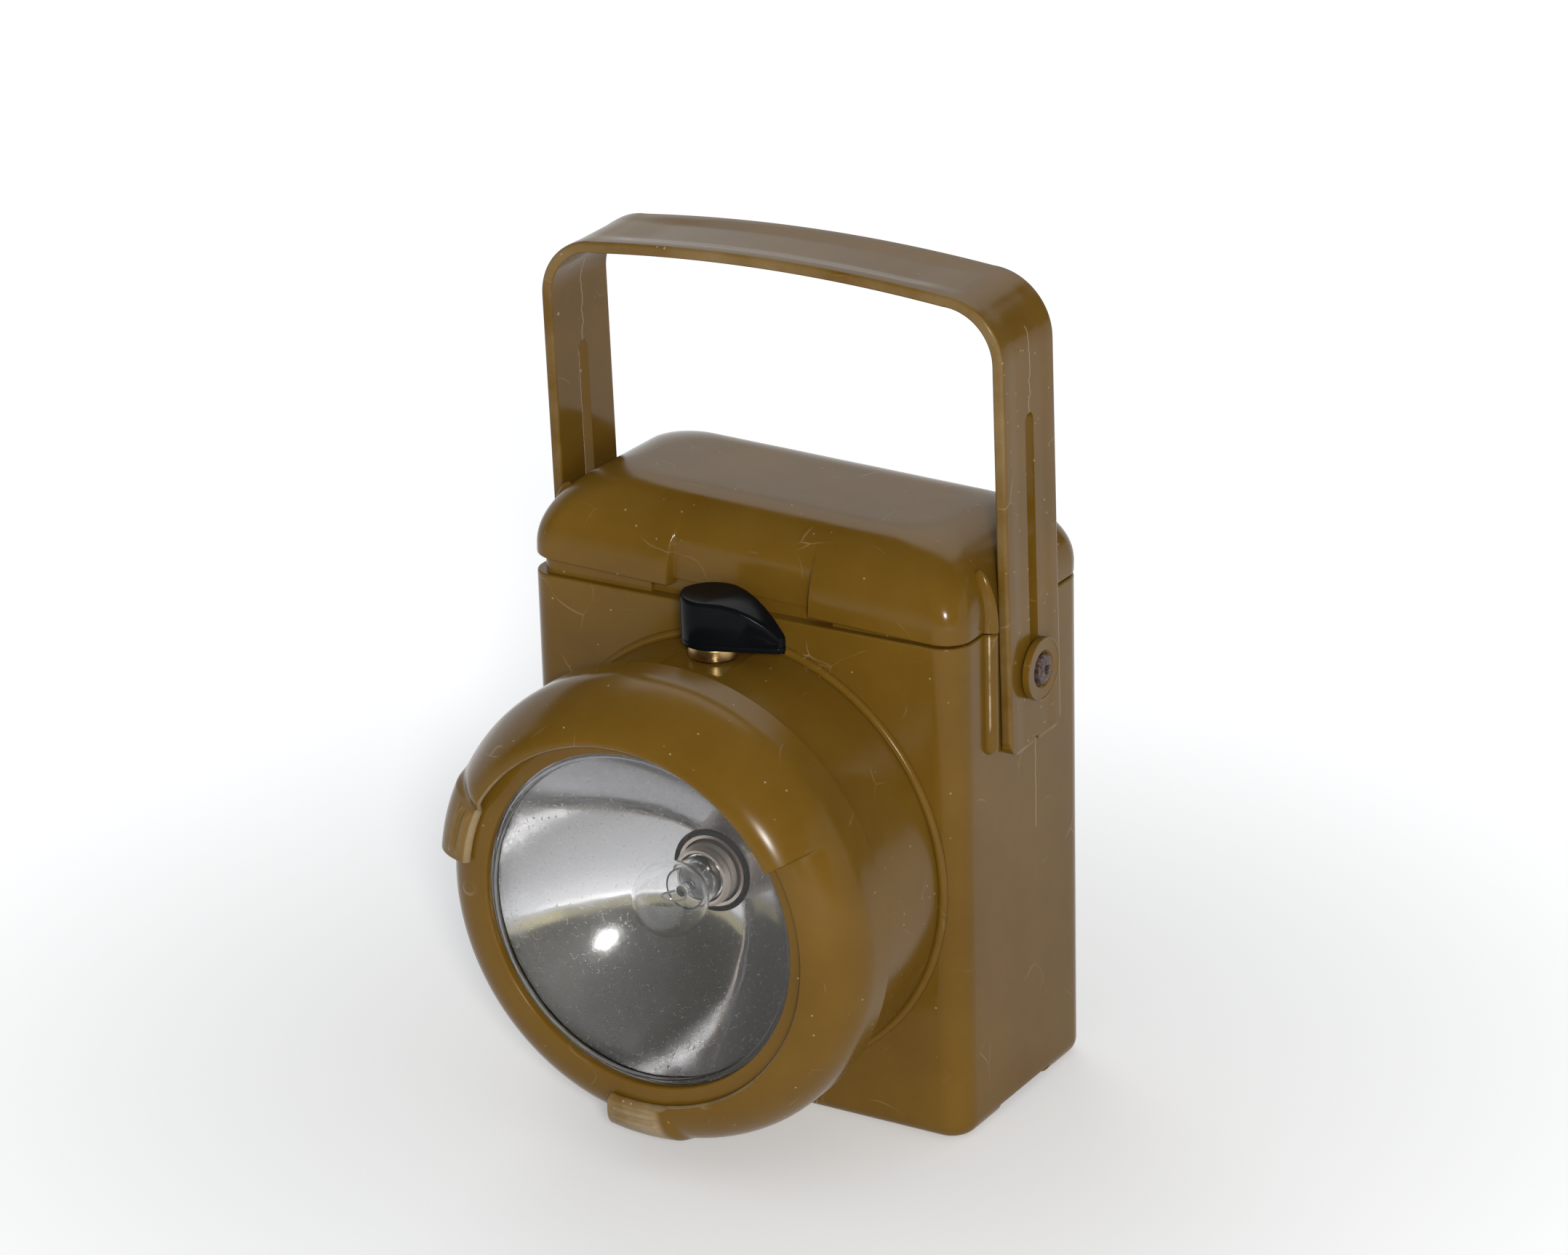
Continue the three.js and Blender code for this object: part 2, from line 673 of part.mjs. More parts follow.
// Shade: a band from the bezel's left side over the top and round to below it, with a lifted brow.
function hoodShade() {
  const centre = bezelRadius - bezelRound;
  const smooth = (x) => {
    const t = Math.min(Math.max(x, 0), 1);
    return t * t * (3 - 2 * t);
  };
  const lifted = (angle) => {
    if (angle > browEndAngle) return 0;
    return smooth((angle - browStartAngle + tabBlend) / browRiseAngle);
  };
  const squared = (angle) => {
    const left = smooth((hoodStartAngle + tabAngle + tabBlend - angle) / tabBlend);
    const right = smooth((angle - hoodEndAngle + tabAngle + tabBlend) / tabBlend);
    return Math.max(left, right);
  };
  const row = (degrees, extra, tabbed) => {
    const phi = THREE.MathUtils.degToRad(degrees);
    const bend = tabbed ? squared(degrees) : 0;
    const power = 1 - (1 - tabSquareness) * bend;
    const points = [[centre + bezelRound + extra, bezelBack + gap]];
    for (let step = 0; step <= hoodSteps; step += 1) {
      const angle = (step / hoodSteps) * hoodEdge;
      const r = centre + (bezelRound + extra) * Math.cos(angle) ** power;
      const s = hoodShoulder + (bezelRoundLength + extra) * Math.sin(angle) ** power;
      const raised = smooth((step / hoodSteps - liftStartShare) / (1 - liftStartShare));
      points.push([r, s + hoodLift * lifted(degrees) * raised]);
    }
    return points.map(([r, s]) => new THREE.Vector3(r * Math.sin(phi), -s, headHeight + r * Math.cos(phi)));
  };
  const angles = [];
  const spans = [
    [hoodStartAngle, hoodStartAngle + tabAngle, tabSteps],
    [hoodStartAngle + tabAngle, hoodStartAngle + 2 * tabAngle, browRiseSteps],
    [hoodStartAngle + 2 * tabAngle, browEndAngle, hoodSpanSteps],
    [browEndAngle + browStepAngle, hoodEndAngle - tabAngle - tabBlend, hoodSpanSteps],
    [hoodEndAngle - tabAngle, hoodEndAngle, tabSteps],
  ];
  for (const [from, to, count] of spans) {
    for (let step = 0; step <= count; step += 1) {
      const angle = from + ((to - from) * step) / count;
      if (angle !== angles.at(-1)) angles.push(angle);
    }
  }
  const outer = angles.map((angle) => row(angle, hoodOuterStep, true));
  const inner = angles.map((angle) => row(angle, hoodClearance, false));
  const ribAt = (from, index) => {
    const lip = (bezelRound + hoodOuterStep) * Math.cos(hoodEdge) ** tabSquareness;
    const out = lip + tabRibInset + tabRibPitch * index;
    const slope = Math.acos((out / (bezelRound + hoodOuterStep)) ** (1 / tabSquareness));
    const face = hoodShoulder + (bezelRoundLength + hoodOuterStep) * Math.sin(slope) ** tabSquareness;
    const start = Math.PI / 2 - THREE.MathUtils.degToRad(from + tabBlend);
    const end = Math.PI / 2 - THREE.MathUtils.degToRad(from + tabAngle - tabBlend);
    const bar = new THREE.Shape();
    bar.absarc(0, headHeight, centre + out + tabRibWidth / 2, start, end, true);
    bar.absarc(0, headHeight, centre + out - tabRibWidth / 2, end, start, false);
    return plate(bar, 2 * tabRibHeight, 'y', -face - tabRibHeight);
  };
  const tabStarts = [hoodStartAngle, hoodEndAngle - tabAngle];
  const ribs = tabStarts.flatMap((from) => [0, 1].map((i) => ribAt(from, i)));
  const body = ribs.reduce((sum, rib) => sum.add(solid(rib)), solid(shell(outer, inner)));
  return piece('hood_shade', geometryOf(body), 'olive');
}

// Bulb: glass, stem, filament, threaded cap, insulator and tip.
function bulbGlass() {
  const neckBack = stemBack - gap - glassWall;
  const contour = (radius, neck) => {
    const meet = Math.asin(neck / radius);
    const points = [];
    for (let step = 0; step < domeSteps; step += 1) {
      const angle = (1 - step / domeSteps) * (Math.PI - meet);
      points.push([radius * Math.sin(angle), globeMiddle + radius * Math.cos(angle)]);
    }
    return [...points, [0, globeMiddle + radius]];
  };
  const inner = contour(globeRadius - glassWall, bulbNeckRadius - glassWall).reverse();
  const profile = [
    ...inner,
    [bulbNeckRadius - glassWall, neckBack],
    [bulbNeckRadius, neckBack],
    ...contour(globeRadius, bulbNeckRadius),
  ];
  return piece('bulb_glass', outward(turned(profile, roundSides / 2)), 'glass');
}

function bulbInside() {
  const bead = filamentHalfWidth / 2;
  const flare = bulbNeckRadius - glassWall - gap;
  const stem = turned([
    [0, stemBack], [flare, stemBack], [flare, stemBack + sheet],
    [bead, stemBack + stemLength / 2], [bead, stemBack + stemLength], [0, stemBack + stemLength],
  ], smallSides);
  const start = stemBack + stemLength + gap;
  const middle = (start + globeMiddle) / 2;
  const path = [
    [-bead, start],
    [-filamentHalfWidth, middle],
    [-filamentHalfWidth, globeMiddle - bead],
    [0, globeMiddle],
    [filamentHalfWidth, globeMiddle - bead],
    [filamentHalfWidth, middle],
    [bead, start],
  ].map(([x, s]) => new THREE.Vector3(x, -s, headHeight));
  const wire = tube(new THREE.CatmullRomCurve3(path), filamentWireRadius, filamentSteps, thinSides);
  return [
    piece('bulb_stem', outward(stem), 'glass'),
    piece('bulb_filament', outward(wire), 'steel'),
  ];
}

function bulbBase() {
  const capBack = bulbTip + tipLength + insulatorLength;
  const tip = turned(rod(tipRadius, bulbTip, bulbTip + tipLength - gap), smallSides);
  const insulator = turned([
    [0, bulbTip + tipLength], [tipRadius, bulbTip + tipLength],
    [insulatorRadius, capBack - gap], [0, capBack - gap],
  ], smallSides);
  const pitch = bulbCapLength / (threadTurns + 1);
  const outside = [[bulbCapRadius - threadDepth, capBack]];
  for (let turn = 0; turn < threadTurns; turn += 1) {
    outside.push([bulbCapRadius - threadDepth, capBack + pitch * (turn + 1 / 4)]);
    outside.push([bulbCapRadius, capBack + pitch * (turn + 1 / 2)]);
    outside.push([bulbCapRadius - threadDepth, capBack + pitch * (turn + 3 / 4)]);
  }
  outside.push([bulbCapRadius - threadDepth, capBack + bulbCapLength]);
  const inside = bulbNeckRadius + gap;
  const cap = turned(ring([
    ...outside,
    [inside, capBack + bulbCapLength],
    [inside, capBack + sheet],
    [inside - sheet, capBack],
  ]), roundSides / 2);
  return [
    piece('bulb_tip', outward(tip), 'steel'),
    piece('bulb_insulator', outward(insulator), 'black'),
    piece('bulb_cap', outward(cap), 'brass'),
  ];
}

function lampSocket() {
  const inner = bulbCapRadius + runningGap;
  const back = plateFront + gap;
  const tubeRing = washer(inner, socketTubeRadius, back, back + socketLength);
  const flange = washer(inner, socketFlangeRadius, back, back + sheet);
  const holes = socketRivetPlaces().map(([x, z]) => frontRod(rivetRadius + gap, x, z, 0, back + overrun));
  const body = cut(join([turned(tubeRing), turned(flange)]), holes);
  const plateBody = cut(solid(turned(washer(contactPinRadius + gap, plateRadius, gap, plateFront))), holes);
  const pin = turned([
    [0, -wall - contactPinTail], [contactPinRadius, -wall - contactPinTail], [contactPinRadius, back],
    [contactHeadRadius, back], [contactHeadRadius, back + contactHeadThickness - gap],
    [0, back + contactHeadThickness - gap],
  ], smallSides);
  const rivets = socketRivetPlaces().map(([x, z]) => (
    piece(`socket_rivet_${sideName(x)}`, rivet('front', x, z, back + sheet, -wall), 'brass')));
  return [
    piece('lamp_socket', geometryOf(body), 'brass'),
    piece('socket_plate', geometryOf(plateBody), 'board'),
    piece('centre_contact', outward(pin), 'brass'),
    ...rivets,
  ];
}

// A rivet with a head on each side of the stack between two faces.
function rivet(way, a, b, high, low) {
  const [seat, tail] = [high + gap, low - gap];
  const profile = [
    [0, tail - rivetHeadHeight],
    [rivetHeadRadius, tail - rivetHeadHeight],
    [rivetHeadRadius, tail],
    [rivetRadius, tail],
    [rivetRadius, seat],
    [rivetHeadRadius, seat],
    [rivetHeadRadius, seat + rivetHeadHeight / 2],
    [rivetHeadRadius / 2, seat + rivetHeadHeight],
    [0, seat + rivetHeadHeight],
  ];
  if (way === 'up') return outward(upright(profile, a, b, smallSides));
  return outward(turned(profile, smallSides).translate(a, 0, b - headHeight));
}

// Rotary switch: knob, flanged bush, nut, shaft, cam and the leaf that the cam presses.
function switchKnob() {
  const tipCentre = knobReach - knobTipRadius;
  const plan = new THREE.Shape();
  const lead = Math.acos((knobRadius - knobTipRadius) / tipCentre);
  plan.absarc(0, 0, knobRadius, lead, 2 * Math.PI - lead);
  plan.absarc(tipCentre, 0, knobTipRadius, -lead, lead);
  const side = new THREE.Shape();
  side.moveTo(-knobRadius - overrun, 0);
  side.lineTo(knobReach + overrun, 0);
  side.lineTo(knobReach + overrun, knobTipHeight);
  side.lineTo(knobReach, knobTipHeight);
  side.bezierCurveTo(
    knobReach - knobRadius / 2,
    knobTipHeight + knobHeight / 3,
    knobReach / 2,
    knobHeight,
    knobRadius / 3,
    knobHeight,
  );
  side.lineTo(-knobRadius - overrun, knobHeight);
  const body = solid(plate(plan, knobHeight + overrun, 'z', -overrun / 2))
    .intersect(solid(plate(side, 4 * knobRadius, 'y', -2 * knobRadius)));
  const bore = upright(rod(shaftRadius + gap, -overrun, knobBoreDepth), 0, 0, smallSides);
  const geometry = geometryOf(cut(body, [bore])).translate(0, -knobSetback, knobBottom);
  return piece('switch_knob', geometry, 'black');
}

function switchParts() {
  const inner = shaftRadius + runningGap;
  const flangeBottom = flatHeight + gap;
  const bush = upright(ring([
    [inner, nutBottom - gap], [bushTubeRadius, nutBottom - gap], [bushTubeRadius, flangeBottom],
    [bushFlangeRadius, flangeBottom], [bushFlangeRadius, flangeBottom + bushFlangeHeight],
    [inner, flangeBottom + bushFlangeHeight],
  ]), 0, -knobSetback, roundSides / 2);
  const nutHole = rod(bushTubeRadius + gap, nutBottom - overrun, nutTop + overrun);
  const nutBlank = upright(rod(switchNutRadius, nutBottom, nutTop), 0, -knobSetback, nutFlats);
  const nut = cut(solid(nutBlank), [upright(nutHole, 0, -knobSetback, smallSides)]);
  const shaft = upright(
    rod(shaftRadius, camBottom, knobBottom + knobBoreDepth - gap),
    0,
    -knobSetback,
    smallSides,
  );
  const camDisc = upright(washer(shaftRadius + gap, camRadius, camBottom, camTop), 0, -knobSetback);
  const notch = box(
    camRadius / 2,
    camRadius + overrun,
    -knobSetback - camRadius / 4,
    -knobSetback + camRadius / 4,
    camBottom - overrun,
    camTop + overrun,
  );
  const leafProfile = outline([
    [-gap, leafFoot], [-gap, leafHeight + sheet],
    [-knobSetback - camRadius, leafHeight + sheet], [-knobSetback - camRadius, leafHeight],
    [-gap - sheet, leafHeight], [-gap - sheet, leafFoot],
  ]);
  const leafHole = frontRod(rivetRadius + gap, 0, leafRivetHeight, -overrun, overrun);
  const leaf = cut(solid(plate(leafProfile, leafWidth, 'x', -leafWidth / 2)), [leafHole]);
  return [
    piece('switch_bush', outward(bush), 'brass'),
    piece('switch_nut', geometryOf(nut), 'brass'),
    piece('switch_shaft', outward(shaft), 'brass'),
    piece('switch_cam', geometryOf(cut(solid(camDisc), [notch])), 'board'),
    piece('switch_leaf', geometryOf(leaf), 'brass'),
    piece('leaf_rivet', rivet('front', 0, leafRivetHeight, gap + sheet, -wall), 'brass'),
  ];
}

// Cells, the bridge under them and the two conical springs.
function cellPair() {
  return both.flatMap((side) => {
    const name = sideName(side);
    const canTop = cellLength - nubHeight;
    const capBottom = canTop - cellCapThickness;
    const body = [
      [0, 0],
      [cellRadius - cellShoulder, 0],
      [cellRadius, cellShoulder],
      [cellRadius, canTop - cellShoulder],
      [cellRadius - cellShoulder, canTop],
      [cellCapRadius + gap, canTop],
      [cellCapRadius + gap, capBottom - gap],
      [0, capBottom - gap],
    ];
    const cap = [
      [0, capBottom],
      [cellCapRadius, capBottom],
      [cellCapRadius, canTop],
      [nubRadius, canTop],
      [nubRadius, cellLength],
      [0, cellLength],
    ];
    const turn = (profile) => {
      const placed = profile.map(([r, z]) => [r, side < 0 ? cellBottom + z : cellTop - z]);
      return outward(upright(placed, side * cellOffset, caseMiddle));
    };
    return [piece(`cell_${name}`, turn(body), 'jacket'), piece(`cell_cap_${name}`, turn(cap), 'steel')];
  });
}

// A conical coil: its turns nest, so its radius grows as it climbs; the ends run straight.
class ConeCoil extends THREE.Curve {
  constructor(side) {
    super();
    this.side = side;
  }

  getPoint(t) {
    const turn = 2 * Math.PI * springTurns;
    const straight = 2 * springWireRadius;
    const climb = springHeight - 2 * springWireRadius;
    const length = turn * springOuterRadius;
    const u = THREE.MathUtils.clamp(t * (1 + (2 * straight) / length) - straight / length, 0, 1);
    const extra = (t * (1 + (2 * straight) / length) - straight / length - u) * length;
    const radius = springOuterRadius + (springInnerRadius - springOuterRadius) * u;
    const angle = this.side * turn * u;
    const along = new THREE.Vector2(-Math.sin(angle), Math.cos(angle)).multiplyScalar(this.side * extra);
    return new THREE.Vector3(
      this.side * cellOffset + radius * Math.cos(angle) + along.x,
      caseMiddle + radius * Math.sin(angle) + along.y,
      springBottom + springWireRadius + climb * u,
    );
  }
}

// The least clear distance between two different turns of a coil.
function leastTurnGap(curve) {
  const points = Array.from({ length: gapSamples + 1 }, (_, i) => curve.getPoint(i / gapSamples));
  const halfTurn = gapSamples / springTurns / 2;
  let least = Infinity;
  points.forEach((p, i) => {
    points.slice(i + halfTurn).forEach((q) => {
      least = Math.min(least, p.distanceTo(q));
    });
  });
  return least - 2 * springWireRadius;
}

function cellContacts() {
  const reach = cellOffset + bridgeOverhang;
  const holes = both.map((side) => upright(
    rod(studRadius + gap, 0, bridgeBottom + overrun),
    0,
    caseMiddle + side * (studSpacing / 2 - studRadius),
    smallSides,
  ));
  const half = bridgeWidth / 2;
  const [front, rear] = [caseMiddle - half, caseMiddle + half];
  const strip = solid(box(-reach, reach, front, rear, bridgeBottom, bridgeBottom + sheet));
  const springs = both.map((side) => {
    const curve = new ConeCoil(side);
    console.log(`least gap between spring turns: ${leastTurnGap(curve).toFixed(2)} mm`);
    const coil = tube(curve, springWireRadius, springSteps * springTurns + 2, thinSides);
    return piece(`spring_${sideName(side)}`, outward(coil), 'steel');
  });
  return [piece('bridge_strip', geometryOf(cut(strip, holes)), 'brass'), ...springs];
}

// Contact board with two bent contacts, their rivets and four screws.
function boardScrewPlaces() {
  return both.flatMap((sx) => both.map((sy) => [
    sx * (cavityHalfWidth - postSize / 2),
    caseMiddle + sy * (cavityHalfDepth - postSize / 2),
  ]));
}

function contactBoard() {
  const screwSpots = boardScrewPlaces();
  const halfWidth = cavityHalfWidth - boardEdgeRoom;
  const halfDepth = cavityHalfDepth - boardEdgeRoom;
  const blank = solid(prism(halfWidth, halfDepth, cornerRadius - wall, boardBottom, boardTop));
  const screwHoles = screwSpots.map(([x, y]) => (
    upright(rod(boardScrewRadius + gap, boardBottom - overrun, boardTop + overrun), x, y, smallSides)));
  const rivetHoles = both.map((side) => upright(
    rod(rivetRadius + gap, boardBottom - overrun - contactRise, boardTop + overrun),
    (side * rivetSpacing) / 2,
    caseMiddle,
    smallSides,
  ));
  const notch = box(
    -boardNotchWidth / 2,
    boardNotchWidth / 2,
    0,
    wall + boardNotchDepth,
    boardBottom - overrun,
    boardTop + overrun,
  );
  const contacts = both.map((side) => {
    const pad = boardBottom - gap;
    const touch = cellTop + gap;
    const outer = rivetSpacing / 2 + contactWidth / 2;
    const inner = rivetSpacing / 2 - contactWidth / 4;
    const bend = cellOffset - contactPadHalfLength;
    const profile = outline([
      [outer, pad],
      [inner, pad],
      [bend + sheet, touch + sheet],
      [bend - contactPadHalfLength, touch + sheet],
      [bend - contactPadHalfLength, touch],
      [bend + 2 * sheet, touch],
      [inner + sheet, pad - sheet],
      [outer, pad - sheet],
    ].map(([x, z]) => [side * x, z]));
    const strip = cut(solid(plate(profile, contactWidth, 'y', caseMiddle - contactWidth / 2)), rivetHoles);
    return piece(`contact_${sideName(side)}`, geometryOf(strip), 'brass');
  });
  const rivets = both.map((side) => piece(
    `board_rivet_${sideName(side)}`,
    rivet('up', (side * rivetSpacing) / 2, caseMiddle, boardTop, boardBottom - gap - sheet),
    'brass',
  ));
  const seat = boardTop + gap;
  const screwProfile = [
    [0, seat - boardScrewLength],
    [boardScrewRadius, seat - boardScrewLength],
    [boardScrewRadius, seat],
    [boardScrewHeadRadius, seat],
    [boardScrewHeadRadius, seat + boardScrewHeadHeight / 2],
    [boardScrewHeadRadius / 2, seat + boardScrewHeadHeight],
    [0, seat + boardScrewHeadHeight],
  ];
  const screws = screwSpots.map(([x, y], i) => (
    piece(`board_screw_${i + 1}`, outward(upright(screwProfile, x, y, smallSides)), 'steel')));
  return [
    piece('contact_board', geometryOf(cut(blank, [...screwHoles, ...rivetHoles, notch])), 'board'),
    ...contacts,
    ...rivets,
    ...screws,
  ];
}

// Wires: from the rivets over the board, down between the cells and to the bulb and the switch.
function wires() {
  const start = boardTop + 2 * gap + rivetHeadHeight;
  const high = start + wireLoopHeight;
  const y = wall + wireDepth / 2;
  const route = (side, end) => {
    const x = side * wireHalfSpacing;
    const rivetX = (side * rivetSpacing) / 2;
    const notchX = side * (wireHalfSpacing + wireDepth / 4);
    return [
      [rivetX, caseMiddle, start],
      [rivetX, caseMiddle, start + wireLoopHeight / 2],
      [rivetX - side * wireDepth, caseMiddle - wireDepth / 2, high],
      [notchX + side * wireDepth, y + wireDepth, high],
      [notchX, y + wireDepth / 3, boardTop + wireDepth / 4],
      [x, y, boardBottom - wireDepth],
      [x, y, end + 2 * wireDepth],
    ];
  };
  const bend = rivetHeadHeight + 2 * gap + wireRadius;
  const arrive = (place, height) => [
    [0, place + bend, height + 2 * bend],
    [0, place + bend, height + bend / 2],
    [0, place + bend / 2, height],
  ];
  const pinEnd = wall + contactPinTail + gap;
  const lampRoute = [...route(-1, headHeight), ...arrive(pinEnd, headHeight), [0, pinEnd, headHeight]];
  const switchEnd = [wall, wall / 2, 0].map((place) => [0, place, leafWireHeight]);
  const switchRoute = [...route(1, leafWireHeight), ...arrive(wall, leafWireHeight), ...switchEnd];
  const lay = (points) => {
    const stops = points.map(([a, b, c]) => new THREE.Vector3(a, b, c));
    return outward(tube(new THREE.CatmullRomCurve3(stops, false, 'centripetal'), wireRadius, wireSteps));
  };
  return [piece('wire_lamp', lay(lampRoute), 'wireRed'), piece('wire_switch', lay(switchRoute), 'wireRed')];
}

// Lid: a slip-on cap, tilted a little on the case's lip, with a fin over each guide rib.
function lid() {
  const shoulder = lidHeight - lidRound;
  const dome = (inset, base) => {
    const radius = lidRound - inset;
    const ringAt = (draw, z) => {
      const corner = cornerRadius + lidCornerShare * draw;
      return roundedRing(caseHalfWidth - draw, caseMiddle - draw, corner, z);
    };
    const bent = quarterTurn(domeSteps).map((angle) => (
      ringAt(lidRound - radius * Math.cos(angle), shoulder + radius * Math.sin(angle))));
    return [ringAt(inset, base), ...bent];
  };
  const halfX = 2 * caseHalfWidth;
  const below = box(-halfX, halfX, -caseDepth, 2 * caseDepth, -2 * lidHeight, 0);
  const clear = solid(loft(dome(-gap, -overrun)));
  const fins = both.map((side) => {
    const blank = new THREE.SphereGeometry(1, smallSides, smallSides)
      .scale(ribRadius + finReach, finHalfWidth, finHeight + finReach)
      .translate(side * (caseHalfWidth - finReach), ribPlace, 0);
    const fin = geometryOf(cut(solid(blank), [below]).subtract(clear));
    return piece(`lid_fin_${sideName(side)}`, fin.translate(-caseHalfWidth, 0, 0), 'olive');
  });
  const outside = cut(solid(loft(dome(0, 0))), [below]);
  const roomHalfWidth = caseHalfWidth - lipInset + lidLipRoom;
  const roomHalfDepth = caseMiddle - lipInset + lidLipRoom;
  const roomCorner = cornerRadius - lipInset + lidLipRoom;
  const lipRoom = prism(roomHalfWidth, roomHalfDepth, roomCorner, -overrun, lipHeight + lidLipRoom);
  const recess = box(-recessWidth / 2, recessWidth / 2, -overrun, recessDepth, -overrun, lidHeight);
  const recessWall = box(
    -recessWidth / 2 - lidWall,
    recessWidth / 2 + lidWall,
    -overrun,
    recessDepth + lidWall / 2,
    -2 * overrun,
    lidHeight,
  );
  const inside = cut(solid(loft(dome(lidWall, -overrun))).add(solid(lipRoom)), [recessWall]);
  const body = cut(outside.subtract(inside), [recess]);
  return [piece('lid', geometryOf(body).translate(-caseHalfWidth, 0, 0), 'olive'), ...fins];
}

// Handle: a strap bent over the lid, slotted in both legs; it slides on two screws.
function handle() {
  const bend = handleCornerRadius;
  const [innerBend, bendBottom] = [bend - strapThickness, handleReach - bend];
  const bendMiddle = strapOutside - bend;
  const underside = handleReach - strapThickness;
  const frame = new THREE.Shape();
  frame.moveTo(-strapOutside, -handleDrop);
  frame.lineTo(-strapOutside, bendBottom);
  frame.absarc(-bendMiddle, bendBottom, bend, Math.PI, Math.PI / 2, true);
  frame.quadraticCurveTo(0, handleReach + 2 * handleCrown, bendMiddle, handleReach);
  frame.absarc(bendMiddle, bendBottom, bend, Math.PI / 2, 0, true);
  frame.lineTo(strapOutside, -handleDrop);
  frame.lineTo(strapInside, -handleDrop);
  frame.lineTo(strapInside, bendBottom);
  frame.absarc(bendMiddle, bendBottom, innerBend, 0, Math.PI / 2, false);
  frame.quadraticCurveTo(0, underside + 2 * handleCrown, -bendMiddle, underside);
  frame.absarc(-bendMiddle, bendBottom, innerBend, Math.PI / 2, Math.PI, false);
  frame.lineTo(-strapInside, -handleDrop);
  const strap = new THREE.ExtrudeGeometry(frame, {
    depth: strapWidth - 2 * strapRounding,
    bevelThickness: strapRounding,
    bevelSize: strapRounding,
    bevelOffset: -strapRounding,
    bevelSegments: 1,
    curveSegments: bendSteps,
  }).rotateX(Math.PI / 2).translate(0, strapWidth / 2 - strapRounding, 0);
  const half = strapWidth / 2;
  const [footMiddle, footTop] = [half - strapFootRadius, strapFootRadius - handleDrop];
  const side = new THREE.Shape();
  side.moveTo(-half - overrun, 2 * handleReach);
  side.lineTo(-half - overrun, 0);
  side.lineTo(-half, 0);
  side.lineTo(-half, footTop);
  side.absarc(-footMiddle, footTop, strapFootRadius, Math.PI, (3 * Math.PI) / 2, false);
  side.lineTo(-notchRadius, -handleDrop);
  side.absarc(0, -handleDrop, notchRadius, Math.PI, 0, true);
  side.lineTo(footMiddle, -handleDrop);
  side.absarc(footMiddle, footTop, strapFootRadius, (3 * Math.PI) / 2, 2 * Math.PI, false);
  side.lineTo(half, 0);
  side.lineTo(half + overrun, 0);
  side.lineTo(half + overrun, 2 * handleReach);
  const reach = strapOutside + overrun;
  const slotRadius = screwRadius + runningGap;
  const slot = new THREE.Shape();
  slot.absarc(0, 0, slotRadius, Math.PI, 2 * Math.PI, false);
  slot.absarc(0, slotLength - 2 * slotRadius, slotRadius, 0, Math.PI, false);
  const body = solid(strap).intersect(solid(plate(side, 2 * reach, 'x', -reach)));
  return piece('handle', geometryOf(cut(body, [plate(slot, 2 * reach, 'x', -reach)])), 'olive');
}

function handleFasteners() {
  const discs = both.map((side) => {
    const holeRadius = screwRadius + gap;
    const recess = screwHeadRadius + gap;
    const profile = ring([
      [holeRadius, discInside],
      [discRadius, discInside],
      [discRadius, discFace - gap],
      [discRadius - gap, discFace],
      [recess, discFace],
      [recess, discFace - discRecessDepth],
      [holeRadius, discFace - discRecessDepth],
    ].map(([r, x]) => [r, side * x]));
    const disc = outward(sideways(profile, caseMiddle, screwHeight, roundSides / 2));
    return piece(`handle_disc_${sideName(side)}`, disc, 'olive');
  });
  const seat = discFace - discRecessDepth + gap;
  const tail = cavityHalfWidth - 2 * gap - nutThickness;
  const screwProfile = [
    [0, tail],
    [screwRadius, tail],
    [screwRadius, seat],
    [screwHeadRadius, seat],
    [screwHeadRadius, seat + screwHeadHeight / 3],
    [screwHeadRadius / 2, seat + screwHeadHeight],
    [0, seat + screwHeadHeight],
  ];
  const screws = both.map((side) => {
    const turnedScrew = sideways(screwProfile.map(([r, x]) => [r, side * x]), caseMiddle, screwHeight);
    return piece(`handle_screw_${sideName(side)}`, outward(turnedScrew), 'rusty');
  });
  const nuts = both.map((side) => {
    const x0 = side * (cavityHalfWidth - gap);
    const x1 = side * (cavityHalfWidth - gap - nutThickness);
    const half = nutSize / 2;
    const block = box(
      Math.min(x0, x1),
      Math.max(x0, x1),
      caseMiddle - half,
      caseMiddle + half,
      screwHeight - half,
      screwHeight + half,
    );
    const bore = sideways(rod(screwRadius + gap, -caseHalfWidth, caseHalfWidth), caseMiddle, screwHeight);
    return piece(`handle_nut_${sideName(side)}`, geometryOf(cut(solid(block), [bore])), 'steel');
  });
  return [...discs, ...screws, ...nuts];
}

// Assembly: the origin is under the middle of the whole lamp, on the surface it stands on.
const handLamp = new THREE.Group();
const lamp = new THREE.Group();
lamp.position.y = (hoodReach - caseDepth) / 2;
handLamp.add(lamp);

lamp.add(caseBody(), bezelRing(), lens(), lensGasket(), reflector(), hoodShade());
lamp.add(bulbGlass(), ...bulbInside(), ...bulbBase(), ...lampSocket());
lamp.add(switchKnob(), ...switchParts());
lamp.add(...cellPair(), ...cellContacts(), ...contactBoard(), ...wires());
lamp.add(...handleFasteners());

const lidGroup = new THREE.Group();
lidGroup.position.set(caseHalfWidth, 0, lidSeat);
lidGroup.rotation.y = THREE.MathUtils.degToRad(lidTiltDegrees);
lidGroup.add(...lid());
lamp.add(lidGroup);

const handleGroup = new THREE.Group();
handleGroup.position.set(0, caseMiddle, screwHeight);
handleGroup.rotation.x = THREE.MathUtils.degToRad(handleLeanDegrees);
handleGroup.add(handle());
lamp.add(handleGroup);

export default handLamp;
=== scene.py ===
import json
import math
import bmesh
import bpy
import numpy as np
from mathutils import Matrix, Vector


